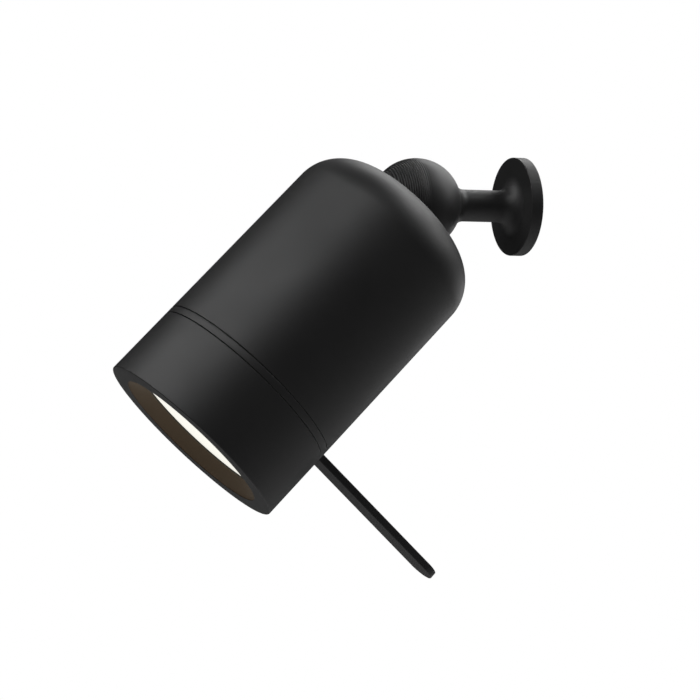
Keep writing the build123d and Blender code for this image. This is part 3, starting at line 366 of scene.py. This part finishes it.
slipPlastic = plainFinish("slip plastic", (0.022, 0.022, 0.022), 0.5, 0.0, 900.0)
driverCase = plainFinish("driver case", (0.80, 0.80, 0.78), 0.5, 0.0, 600.0, shade=0.93)
terminalPlastic = plainFinish("terminal plastic", (0.85, 0.85, 0.83), 0.3, 0.0, 600.0, shade=0.93)
boardWhite = plainFinish("white circuit board", (0.86, 0.86, 0.84), 0.4, 0.0, 900.0, shade=0.95)
boardGreen = plainFinish("green circuit board", (0.03, 0.22, 0.10), 0.4, 0.0, 900.0)
ledYellow = plainFinish("phosphor", (0.90, 0.72, 0.22), 0.5, 0.0, 900.0)
wireRed = plainFinish("wire insulation", (0.60, 0.06, 0.05), 0.45, 0.0, 900.0)
reflectorWhite = plainFinish("moulded reflector", (0.90, 0.90, 0.88), 0.35, 0.0, 600.0, shade=0.95)

glow = {"colour": (1.0, 0.984, 0.905), "strength": 0.9, "surface": (0.50, 0.49, 0.45), "lighter": 1.05}
glow |= {"roughness": 0.41, "spread": 0.06}
glow |= {"grainScale": 1500.0, "grainStrength": 0.2, "grainHeight": 0.00001}


def opalFinish(name):
    # Lit opal disc: an even warm glow over a satin surface.
    material, tree, shader, place = newMaterial(name)
    grain = noiseAt(tree, place, glow["grainScale"], 2.0)
    lighter = tuple(c * glow["lighter"] for c in glow["surface"])
    tree.links.new(twoColours(tree, grain, glow["surface"], lighter), shader.inputs["Base Color"])
    moveGloss(tree, shader, grain, glow["roughness"], glow["spread"])
    shader.inputs["Emission Color"].default_value = (*glow["colour"], 1)
    shader.inputs["Emission Strength"].default_value = glow["strength"]
    bumpOf(tree, shader, grain, glow["grainStrength"], glow["grainHeight"])
    return material


opalDiffuser = opalFinish("lit opal")
print("finishes made")


def finishPiece(piece, material, slotName, body, *replaced):
    # Gives a piece its material and its body, and hides the nodes it stands for.
    piece.data.materials.clear()
    piece.data.materials.append(material)
    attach(piece, body)
    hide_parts(*replaced)


# Rose and stem: one turning. Outline of (radius, distance from the wall).
rose = {"radius": 24.45, "thick": 6.0, "recessRadius": 20.6, "recess": 4.4, "flare": 8.0, "edge": 0.35}
rose |= {"grubHole": 1.28, "grubFromWall": 1.7, "grubReach": (-1, 5)}
stem = {"bore": 3.4, "threadBore": 5.03, "threadLength": 18.0, "ballFillet": 7.0}
stemRadius, ballRadius = lamp["stemRadius"], lamp["ballRadius"]
filletRadius = stem["ballFillet"]
filletCentre = stemRadius + filletRadius
stemStart = math.sqrt((ballRadius + filletRadius) ** 2 - filletCentre**2)  # from the ball's centre
stemEnd = lamp["wallToBall"] - stemStart
threadStart = stemEnd - stem["threadLength"]
roseAndStem = turnedPiece(
    "roseAndStem",
    roundedOutline(
        [
            (rose["recessRadius"], 0, 0.15),
            (rose["radius"], 0, rose["edge"]),
            (rose["radius"], rose["thick"], rose["edge"]),
            (stemRadius, rose["thick"], rose["flare"]),
            (stemRadius, stemEnd, 0),
            (stem["threadBore"], stemEnd, 0),
            (stem["threadBore"], threadStart, 0),
            (stem["bore"], threadStart, 0),
            (stem["bore"], rose["recess"], 0),
            (rose["recessRadius"], rose["recess"], 0),
        ]
    ),
    wallPlace,
)
grubPlace = placeOf((0, -rose["grubFromWall"], -rose["radius"]), (0, 0, 1))
cutFrom(roseAndStem, [roundBar("grubHole", grubPlace, rose["grubHole"], *rose["grubReach"])])
finishPiece(roseAndStem, blackCoat, "black_coat", "stand", "rose_and_stem")

# Ball, rear half: sphere, concave fillet into the stem, hollow inside
ball = {
    "inner": 19.5,
    "split": 0.012,
    "floor": 14.1,
    "ringPitch": 1.02,
    "ringDepth": 0.45,
    "ringFade": 6.5,  # the rings reach their full depth this far from the middle plane
    "ringCount": 20,
    "slotHalf": 5.1,
    "slotLow": 0.0,
    "slotHigh": 58.0,
    "screwAside": 9.4,
    "screwHole": 1.28,
    "screwSink": 2.6,
    "screwFloor": 16.6,
    "screwReach": (5, 30),  # where the screw holes start and end, from the ball's centre
}
filletAngle = math.degrees(math.asin(filletCentre / (ballRadius + filletRadius)))
splitAngle = math.degrees(math.asin(ball["split"] / ballRadius))
floorAngle = math.degrees(math.asin(ball["floor"] / ball["inner"]))
rearOutline = np.concatenate(
    [
        arcPoints((0, 0), ballRadius, splitAngle, 90 - filletAngle, 90),
        arcPoints((filletCentre, stemStart), filletRadius, 270 - filletAngle, 180, 14)[1:],
        [(stem["threadBore"], stemStart), (stem["threadBore"], ball["floor"])],
        arcPoints((0, 0), ball["inner"], floorAngle, splitAngle, 24),
    ]
)
ballRear = turnedPiece("ballRearHalf", rearOutline, ballPlace)
finishPiece(ballRear, blackCoat, "black_coat", "stand", "ball_rear_half")

# Ball, front half: radius(s) = ball - depth * min(s / fade, 1) * (0.5 + 0.5 cos(2 pi (s / pitch - 0.5)))^2,
# where s is the distance from the middle plane, so the turned rings keep one pitch along the stem's axis
ringEnd = ball["ringCount"] * ball["ringPitch"]
ringPlace = np.linspace(ball["split"], ringEnd, ball["ringCount"] * 10 + 1)
ringWave = (0.5 + 0.5 * np.cos(2 * math.pi * (ringPlace / ball["ringPitch"] - 0.5))) ** 2
ringAngle = np.arcsin(ringPlace / ballRadius)
ringRadius = ballRadius - ball["ringDepth"] * np.minimum(ringPlace / ball["ringFade"], 1) * ringWave
capOuter = np.stack([ringRadius * np.cos(ringAngle), -ringRadius * np.sin(ringAngle)], axis=1)
capTop = arcPoints((0, 0), ballRadius, -math.degrees(ringAngle[-1]), -89.0, 14)[1:]
capInner = arcPoints((0, 0), ball["inner"], -89.0, -splitAngle, 30)
capOutside = np.concatenate([capOuter, capTop])
ballCap = turnedBowl("ballFrontHalf", capOutside, capInner, ballPlace, facets["ballFront"])


def slotWedge(name):
    # The part of the slot between its two round ends: a flat prism through the ball's centre.
    angles = np.radians(np.linspace(ball["slotLow"], ball["slotHigh"], 7))
    reach = 2 * ballRadius
    flat = np.concatenate([[(0.0, 0.0)], -reach * np.stack([np.cos(angles), np.sin(angles)], axis=1)])
    count = len(flat)
    points = np.zeros((2 * count, 3))
    points[:, 0] = np.repeat([-ball["slotHalf"], ball["slotHalf"]], count)
    points[:, 1:] = np.tile(flat, (2, 1))
    column = np.arange(count)
    following = (column + 1) % count
    quads = np.stack([column, following, following + count, column + count], axis=1)
    fan = np.arange(1, count - 1)
    sides = np.concatenate(
        [
            np.stack([np.zeros_like(fan), fan + 1, fan], axis=1),
            np.stack([np.zeros_like(fan), fan, fan + 1], axis=1) + count,
        ]
    )
    return makeObject(name, points + np.array(ballCentre), quads, sides)


slotCutters = [slotWedge("slotMiddle")]
for slotAngle in (ball["slotLow"], ball["slotHigh"]):
    slotTurn = math.radians(slotAngle)
    slotAxis = (0, -math.cos(slotTurn), -math.sin(slotTurn))
    slotPlace = placeOf(ballCentre, slotAxis)
    slotCutters.append(roundBar("slotEnd", slotPlace, ball["slotHalf"], 0, 2 * ballRadius))
for aside in (-ball["screwAside"], ball["screwAside"]):
    screwPlace = placeOf((aside, ballCentre[1], 0), (0, -1, 0))
    holeStart, holeEnd = ball["screwReach"]
    for radius, start in ((ball["screwHole"], holeStart), (ball["screwSink"], ball["screwFloor"])):
        slotCutters.append(roundBar("screwHole", screwPlace, radius, start, holeEnd, facets["smallHole"]))
cutFrom(ballCap, slotCutters)
finishPiece(ballCap, blackTurned, "black_turned", "swivel", "ball_front_half")
print("ball made:", len(ballCap.data.polygons), "faces")

# Head shell: a cup with a large rounded shoulder, open round the ball, and three screw bosses inside
shell = {
    "rear": 7.4,
    "shoulder": 22.1,
    "opening": 22.2,
    "wall": 3.0,
    "seat": 47.5,
    "seatStart": 108.88,
    "edge": 0.2,
    "openingEdge": 0.35,
    "bossCircle": 38.0,
    "bossRadius": 4.5,
    "bossHole": 1.98,
    "bossTop": 28.0,
}
headRadius = lamp["headRadius"]
shellBody = turnedPiece(
    "headShell",
    roundedOutline(
        [
            (headRadius, lamp["shellFront"], shell["edge"]),
            (headRadius, shell["rear"], shell["shoulder"]),
            (shell["opening"], shell["rear"], shell["openingEdge"]),
            (shell["opening"], shell["rear"] + shell["wall"], 0.2),
            (headRadius - shell["wall"], shell["rear"] + shell["wall"], shell["shoulder"] - shell["wall"]),
            (headRadius - shell["wall"], shell["seatStart"], 0),
            (shell["seat"], shell["seatStart"], 0),
            (shell["seat"], lamp["shellFront"], 0.15),
        ],
        step=0.7,
    ),
    headPlace,
    facets["head"],
)
# Each boss is a tube; its foot follows the middle of the shoulder's wall,
# t = middle - sqrt(r^2 - (rho - centre)^2)
shoulderCentre = headRadius - shell["shoulder"]
wallMiddle = shell["shoulder"] - shell["wall"] / 2
bossOutline = roundedOutline(
    [
        (shell["bossHole"], 0, 0),
        (shell["bossRadius"], 0, 0),
        (shell["bossRadius"], shell["bossTop"], 0.2),
        (shell["bossHole"], shell["bossTop"], 0.2),
    ]
)
bosses = []
for turn in (90, 210, 330):
    turn = math.radians(turn)
    aside = shell["bossCircle"] * (math.cos(turn) * headPlace[0] + math.sin(turn) * headPlace[1])
    bossPlace = np.array([*headPlace[:3], headPlace[3] + aside])
    points = turnedGrid(bossOutline, bossPlace, facets["boss"])
    local = (points - headPlace[3]) @ headPlace[:3].T
    fromCentre = np.clip(np.hypot(local[:, 0], local[:, 1]) - shoulderCentre, 0, wallMiddle)
    foot = shell["rear"] + shell["shoulder"] - np.sqrt(wallMiddle**2 - fromCentre**2)
    points += np.maximum(foot - local[:, 2], 0)[:, None] * headPlace[2]
    bosses.append(makeObject("boss", points, wrapFaces(len(bossOutline), facets["boss"])))
headShell = joined("headShell", [shellBody, *bosses])
finishPiece(headShell, blackCoat, "black_coat", "head", "head_shell")

# Front sleeve: lip, inner wall back to the diffuser, outer wall, and the threaded collar at the ring. The
# inner wall carries a painted warm reflection of the lit diffuser, brown on the black coat and less glossy:
# the faces up to its radius from the head's axis, give or take paintedGlowWithin, and further than
# paintedGlowBehind from the lip's plane.
sleeve = {"skirt": 2.0, "lip": 2.5, "wall": 2.5, "collar": 44.58, "collarEnd": 132.85, "edge": 0.4}
sleeve |= {"gasket": 0.85, "paintedGlowWithin": 0.12, "paintedGlowBehind": 0.1}
# Colour and gloss of the painted warm reflection of the diffuser on the inner wall's black coat
sleeve |= {"paintedGlow": {"colour": (0.052, 0.031, 0.014), "roughness": 0.5, "specular": 0.35}}
mouth, mouthRadius = lamp["mouth"], lamp["mouthRadius"]
skirtEnd = lamp["diffuserFront"] + sleeve["gasket"]
frontSleeve = turnedPiece(
    "frontSleeve",
    roundedOutline(
        [
            (headRadius, lamp["sleeveRear"], shell["edge"]),
            (headRadius, mouth, sleeve["edge"]),
            (mouthRadius, mouth, sleeve["edge"]),
            (mouthRadius, skirtEnd, 0.15),
            (mouthRadius + sleeve["skirt"], skirtEnd, 0),
            (mouthRadius + sleeve["skirt"], mouth - sleeve["lip"], 0),
            (headRadius - sleeve["wall"], mouth - sleeve["lip"], 0),
            (headRadius - sleeve["wall"], sleeve["collarEnd"], 0),
            (sleeve["collar"], sleeve["collarEnd"], 0),
            (sleeve["collar"], lamp["sleeveRear"], 0.15),
        ],
        step=0.15,
    ),
    headPlace,
    facets["head"],
)
finishPiece(frontSleeve, blackCoat, "black_coat", "head", "front_sleeve")
# Second material: the black coat with the painted warm reflection of the diffuser, for the inner wall's faces
frontSleeve.data.materials.append(coatedMetal("black coat with painted warm glow inside the mouth", **sleeve["paintedGlow"]))
faceCentres = np.zeros(3 * len(frontSleeve.data.polygons))
frontSleeve.data.polygons.foreach_get("center", faceCentres)
inHead = (faceCentres.reshape(-1, 3) / mm - headPlace[3]) @ headPlace[:3].T
fromAxis = np.hypot(inHead[:, 0], inHead[:, 1])
paintedGlowFaces = (fromAxis < mouthRadius + sleeve["paintedGlowWithin"]) & (inHead[:, 2] < mouth - sleeve["paintedGlowBehind"])
frontSleeve.data.polygons.foreach_set("material_index", paintedGlowFaces.astype(int))
frontSleeve.data.update()

# Lever ring. The outline runs round the ring, down the lever's left side, round its tip and back; each point
# keeps its outward normal n, and the edge is p - n * e (1 - sin t), at height e (1 - cos t). The bore has the
# same angles.
lever = {
    "reach": 135.1,
    "width": 17.0,
    "root": 0.8,
    "edge": 0.35,
    "inset": 0.65,  # a row of faces this far inside the outline keeps the edge's shading off the flat faces
    "bore": 44.6,
    "grooveInner": 44.96,
    "grooveOuter": 47.06,
    "grooveDepth": 1.6,
    "grooveSpan": 62.3,
    "grooveDraft": 0.01,
    "magnetAngle": 16.0,
    "magnetHole": 1.53,
    "pocketEnd": 46.93,
}


def leverOutline():
    # Flat outline (x, y) of ring and lever: circle of the head's radius, concave arcs of the root's radius
    # that touch circle and lever, straight sides, and half a circle as the tip. The lever points to -y.
    half, root = lever["width"] / 2, lever["root"]
    rootY = -math.sqrt((headRadius + root) ** 2 - (half + root) ** 2)
    rootAngle = math.degrees(math.atan2(rootY, half + root))
    tipY = half - lever["reach"]
    around = arcPoints((0, 0), headRadius, rootAngle, 180 - rootAngle, 400)
    rightRoot = arcPoints((half + root, rootY), root, 180, 180 + rootAngle, 8)
    leftRoot = (rightRoot * np.array([-1.0, 1.0]))[::-1]
    side = np.linspace(rootY, tipY, 60)[1:-1]
    left = np.stack([np.full(len(side), -half), side], axis=1)
    tip = arcPoints((0, tipY), half, 180, 360, 64)
    right = (left * np.array([-1.0, 1.0]))[::-1]
    return np.concatenate([around[:-1], leftRoot[:-1], left, tip, right, rightRoot[:-1]])


flat = leverOutline()
along = np.roll(flat, -1, axis=0) - np.roll(flat, 1, axis=0)
along /= np.linalg.norm(along, axis=1)[:, None]
outward = np.stack([along[:, 1], -along[:, 0]], axis=1)
polar = flat / np.linalg.norm(flat, axis=1)[:, None]
fromTop = np.degrees(np.arccos(np.clip(polar[:, 1], -1, 1)))
inGroove = (fromTop < lever["grooveSpan"]).astype(float)
rear, front = lamp["ringRear"], lamp["ringFront"]
edgeTurns = np.linspace(0, math.pi / 2, 6)
rows = [(polar * lever["bore"], rear), (polar * lever["grooveInner"], rear)]
grooveFloor = rear + lever["grooveDepth"] * inGroove
rows.append((polar * (lever["grooveInner"] + lever["grooveDraft"]), grooveFloor))
rows.append((polar * (lever["grooveOuter"] - lever["grooveDraft"]), grooveFloor))
rows.append((polar * lever["grooveOuter"], rear))
rows.append((flat - outward * lever["inset"], rear))
edgeRows = [
    (flat - outward * lever["edge"] * (1 - math.sin(t)), lever["edge"] * (1 - math.cos(t))) for t in edgeTurns
]
rows += [(points, rear + rise) for points, rise in edgeRows]
rows += [(points, front - rise) for points, rise in edgeRows[::-1]]
rows.append((flat - outward * lever["inset"], front))
rows.append((polar * lever["grooveOuter"], front))
rows.append((polar * lever["bore"], front))
flatPoints = np.concatenate([p for p, z in rows])
heights = np.concatenate([np.broadcast_to(z, len(p)) for p, z in rows])
leverPoints = headPlace[3] + np.column_stack([flatPoints, heights]) @ headPlace[:3]
leverRing = makeObject("leverRing", leverPoints, wrapFaces(len(rows), len(flat)), smoothDegrees=40)
pockets = []
for side in (-1, 1):
    turn = math.radians(270 + side * lever["magnetAngle"])
    pocketAxis = math.cos(turn) * headPlace[0] + math.sin(turn) * headPlace[1]
    pocketOrigin = headPlace[3] + (rear + front) / 2 * headPlace[2]
    pocketPlace = placeOf(pocketOrigin, pocketAxis, headPlace[2])
    reach = (lever["bore"] - 1, lever["pocketEnd"])
    pockets.append(roundBar("pocket", pocketPlace, lever["magnetHole"], *reach, facets["smallHole"]))
cutFrom(leverRing, pockets)
finishPiece(leverRing, blackLever, "black_lever", "ring", "lever_ring")

# Diffuser, its gasket, the seat round the ball and the slip washers in the two grooves
diffuser = {"radius": 44.18, "thick": 3.0, "edge": 0.35, "gasketInner": 40.4, "gasketOuter": 43.6}
diffuser |= {"frontRows": (43.0, 36.0, 28.0, 20.0, 12.0, 4.0), "rearRows": (4.0, 20.0, 43.0)}
diffuserFront = lamp["diffuserFront"]
discRear = diffuserFront - diffuser["thick"]
edgeCentre = diffuser["radius"] - diffuser["edge"]
frontEdge = arcPoints((edgeCentre, diffuserFront - diffuser["edge"]), diffuser["edge"], 0, 90, 6)
rearEdge = arcPoints((edgeCentre, discRear + diffuser["edge"]), diffuser["edge"], -90, 0, 6)
frontFace = np.array([(r, diffuserFront) for r in diffuser["frontRows"]])
rearFace = np.array([(r, discRear) for r in diffuser["rearRows"]])
opalDisc = turnedDisc("opalDiffuser", np.concatenate([rearFace, rearEdge, frontEdge, frontFace]), headPlace)
finishPiece(opalDisc, opalDiffuser, "opal_diffuser", "head", "diffuser")

gasket = turnedPiece(
    "diffuserGasket",
    roundedOutline(
        [
            (diffuser["gasketInner"], diffuserFront, 0.1),
            (diffuser["gasketOuter"], diffuserFront, 0.1),
            (diffuser["gasketOuter"], skirtEnd, 0.1),
            (diffuser["gasketInner"], skirtEnd, 0.1),
        ]
    ),
    headPlace,
)
finishPiece(gasket, darkSilicone, "grey_rubber", "head", "diffuser_gasket")

seat = {"rear": 10.4, "front": 14.4, "outer": 26.4, "sphere": 22.8, "edge": 0.3}
seatRear = math.degrees(math.asin(seat["rear"] / seat["sphere"]))
seatFront = math.degrees(math.asin(seat["front"] / seat["sphere"]))
seatOutline = np.concatenate(
    [
        arcPoints((0, 0), seat["sphere"], seatRear, seatFront, 16),
        [
            (seat["outer"] - seat["edge"], seat["front"]),
            (seat["outer"], seat["front"] - seat["edge"]),
            (seat["outer"], seat["rear"]),
        ],
    ]
)
ballSeat = turnedPiece("ballSeatRing", seatOutline, headPlace)
finishPiece(ballSeat, slipPlastic, "slip_plastic", "head", "ball_seat_ring")

washer = {"inner": 48.0, "outer": 49.4, "thick": 0.25, "gap": 0.05, "edge": 0.05}
washers = []
for washerRear in (lamp["shellFront"], lamp["ringFront"] + washer["gap"]):
    corners = [
        (washer["inner"], washerRear, 0),
        (washer["outer"], washerRear, washer["edge"]),
        (washer["outer"], washerRear + washer["thick"], washer["edge"]),
        (washer["inner"], washerRear + washer["thick"], 0),
    ]
    washers.append(turnedPiece("slipWasher", roundedOutline(corners), headPlace))
slipWashers = joined("slipWashers", washers)
finishPiece(slipWashers, slipPlastic, "slip_plastic", "head", "ring_slip_washers")
print("head made")

# Inner nodes keep their CAD shape and get their finish here
innerFinishes = {
    zincSteel: "wall_plate swivel_bolt swivel_yoke tilt_knuckle tilt_pivot_screws neck_plate_screws "
    "neck_washer neck_nut driver_bracket driver_screws bracket_foot_screws heat_sink_screws led_board_screws",
    blackRubber: "cable_bush ring_o_ring",
    brassScrew: "earth_screw",
    darkScrew: "rose_grub_screw ball_cap_screws",
    leadSheath: "stem_lead head_lead",
    slipPlastic: "swivel_washer tilt_washers",
    springSteel: "swivel_spring swivel_stop_pin ring_stop_pin",
    bareAluminium: "neck_plate ring_carrier heat_sink",
    magnetNickel: "ring_magnets",
    driverCase: "driver",
    terminalPlastic: "terminal_block",
    boardWhite: "led_board",
    boardGreen: "sensor_board",
    ledYellow: "led_chips",
    wireRed: "led_wires",
    reflectorWhite: "reflector",
}
for finish, names in innerFinishes.items():
    for nodeName in names.split():
        nodes[nodeName].data.materials.clear()
        nodes[nodeName].data.materials.append(finish)
print("inner nodes finished")

# Camera: where the photograph was taken from
photo = {"lens": 92.875, "sensor": 36.0, "azimuth": 69.566, "elevation": 0.646}
photo |= {"aside": -32.015, "upward": -71.328, "back": 883.86, "clipNear": 0.05, "clipFar": 50.0}
azimuth, elevation = math.radians(photo["azimuth"]), math.radians(photo["elevation"])
toRight = Vector((math.cos(azimuth), math.sin(azimuth), 0))
flatShare = math.cos(elevation)
toViewer = Vector((math.sin(azimuth) * flatShare, -math.cos(azimuth) * flatShare, math.sin(elevation)))
upward = toViewer.cross(toRight)
cameraData = bpy.data.cameras.new("camera")
cameraData.lens = photo["lens"]
cameraData.sensor_width = photo["sensor"]
cameraData.clip_start, cameraData.clip_end = photo["clipNear"], photo["clipFar"]
camera = bpy.data.objects.new("camera", cameraData)
bpy.context.scene.collection.objects.link(camera)
fromBall = toRight * photo["aside"] + upward * photo["upward"] + toViewer * photo["back"]
cameraTurn = Matrix((toRight, upward, toViewer)).transposed().to_4x4()
camera.matrix_world = Matrix.Translation((Vector(ballCentre) + fromBall) * mm) @ cameraTurn
bpy.context.scene.camera = camera

# Lights: banks of round softboxes on level arcs about the head, all angles in degrees. Around is counted
# from the viewer towards the right, height from the viewer's level. A bank's boxes share its power evenly.
banks = {
    "upperLeft": {"around": (-100, -5), "height": 46, "boxes": 5, "power": 12.2},
    "rimHigh": {"around": (95, 165), "height": 45, "boxes": 4, "power": 13.0},
    "rimLow": {"around": (92, 150), "height": 22, "boxes": 4, "power": 6.8},
    "lowBehind": {"around": (130, 150), "height": -10, "boxes": 2, "power": 2.2},
    "lipFill": {"around": (-140, -140), "height": -20, "boxes": 1, "power": 0.3},
}
softbox = {"size": 0.6, "away": 1.6, "aim": 60.0}  # aimed at a point this far along the head's axis
aim = Vector(headPlace[3] + softbox["aim"] * headPlace[2]) * mm
for bankName, bank in banks.items():
    height = math.radians(bank["height"])
    for around in np.radians(np.linspace(*bank["around"], bank["boxes"])):
        sideways = math.sin(around) * toRight + math.cos(around) * toViewer
        direction = (math.cos(height) * sideways + math.sin(height) * upward).normalized()
        data = bpy.data.lights.new(bankName, "AREA")
        data.shape = "DISK"
        data.size = softbox["size"]
        data.energy = bank["power"] / bank["boxes"]
        box = bpy.data.objects.new(bankName, data)
        bpy.context.scene.collection.objects.link(box)
        box.visible_camera = False
        box.location = aim + direction * softbox["away"]
        box.rotation_mode = "QUATERNION"
        box.rotation_quaternion = direction.to_track_quat("Z", "Y")

# Surroundings: white to the camera, a dim even studio to everything else
studio = {"background": 1.0, "ambient": 0.01, "colour": (1, 1, 1, 1)}
world = bpy.data.worlds.new("studio")
bpy.context.scene.world = world
world.use_nodes = True
tree = world.node_tree
tree.nodes.clear()
worldOutput = addNode(tree, "ShaderNodeOutputWorld")
white = addNode(tree, "ShaderNodeBackground", {"Strength": studio["background"], "Color": studio["colour"]})
dim = addNode(tree, "ShaderNodeBackground", {"Strength": studio["ambient"], "Color": studio["colour"]})
path = addNode(tree, "ShaderNodeLightPath")
pick = addNode(tree, "ShaderNodeMixShader")
tree.links.new(path.outputs["Is Camera Ray"], pick.inputs[0])
tree.links.new(dim.outputs["Background"], pick.inputs[1])
tree.links.new(white.outputs["Background"], pick.inputs[2])
tree.links.new(pick.outputs["Shader"], worldOutput.inputs["Surface"])

# Floor: pale and plain, far below the lamp. The lamps light it, so that the lamp's shadow stays. Over that it
# has a light of its own, for the camera only, which grows from near to far between the two distances.
ground = {"level": -1.1, "half": 3.0, "colour": (0.86, 0.86, 0.86)}
ground |= {"near": 0.5, "nearDistance": 1.2, "far": 1.0, "farDistance": 2.7}
half, level = ground["half"], ground["level"]
floorPoints = [(-half, -half, level), (half, -half, level), (half, half, level), (-half, half, level)]
floorMesh = bpy.data.meshes.new("floor")
floorMesh.from_pydata(floorPoints, [], [(0, 1, 2, 3)])
floor = bpy.data.objects.new("floor", floorMesh)
bpy.context.scene.collection.objects.link(floor)
floorMaterial = bpy.data.materials.new("pale floor")
floorMaterial.use_nodes = True
tree = floorMaterial.node_tree
tree.nodes.clear()
floorOutput = addNode(tree, "ShaderNodeOutputMaterial")
matt = addNode(tree, "ShaderNodeBsdfDiffuse", {"Color": (*ground["colour"], 1)})
bright = addNode(tree, "ShaderNodeEmission")
path = addNode(tree, "ShaderNodeLightPath")
floorPlace = addNode(tree, "ShaderNodeTexCoord")
distance = addNode(tree, "ShaderNodeVectorMath")
distance.operation = "LENGTH"
fromNear = {"From Min": ground["nearDistance"], "To Min": ground["near"]}
toFar = {"From Max": ground["farDistance"], "To Max": ground["far"]}
ownLight = addNode(tree, "ShaderNodeMapRange", fromNear | toFar)
cameraShare = addNode(tree, "ShaderNodeMath")
cameraShare.operation = "MULTIPLY"
both = addNode(tree, "ShaderNodeAddShader")
tree.links.new(floorPlace.outputs["Object"], distance.inputs[0])
tree.links.new(distance.outputs["Value"], ownLight.inputs["Value"])
tree.links.new(path.outputs["Is Camera Ray"], cameraShare.inputs[0])
tree.links.new(ownLight.outputs["Result"], cameraShare.inputs[1])
tree.links.new(cameraShare.outputs["Value"], bright.inputs["Strength"])
tree.links.new(matt.outputs["BSDF"], both.inputs[0])
tree.links.new(bright.outputs["Emission"], both.inputs[1])
tree.links.new(both.outputs["Shader"], floorOutput.inputs["Surface"])
floorMesh.materials.append(floorMaterial)

bpy.context.scene.view_settings.view_transform = "Standard"
print("scene ready")
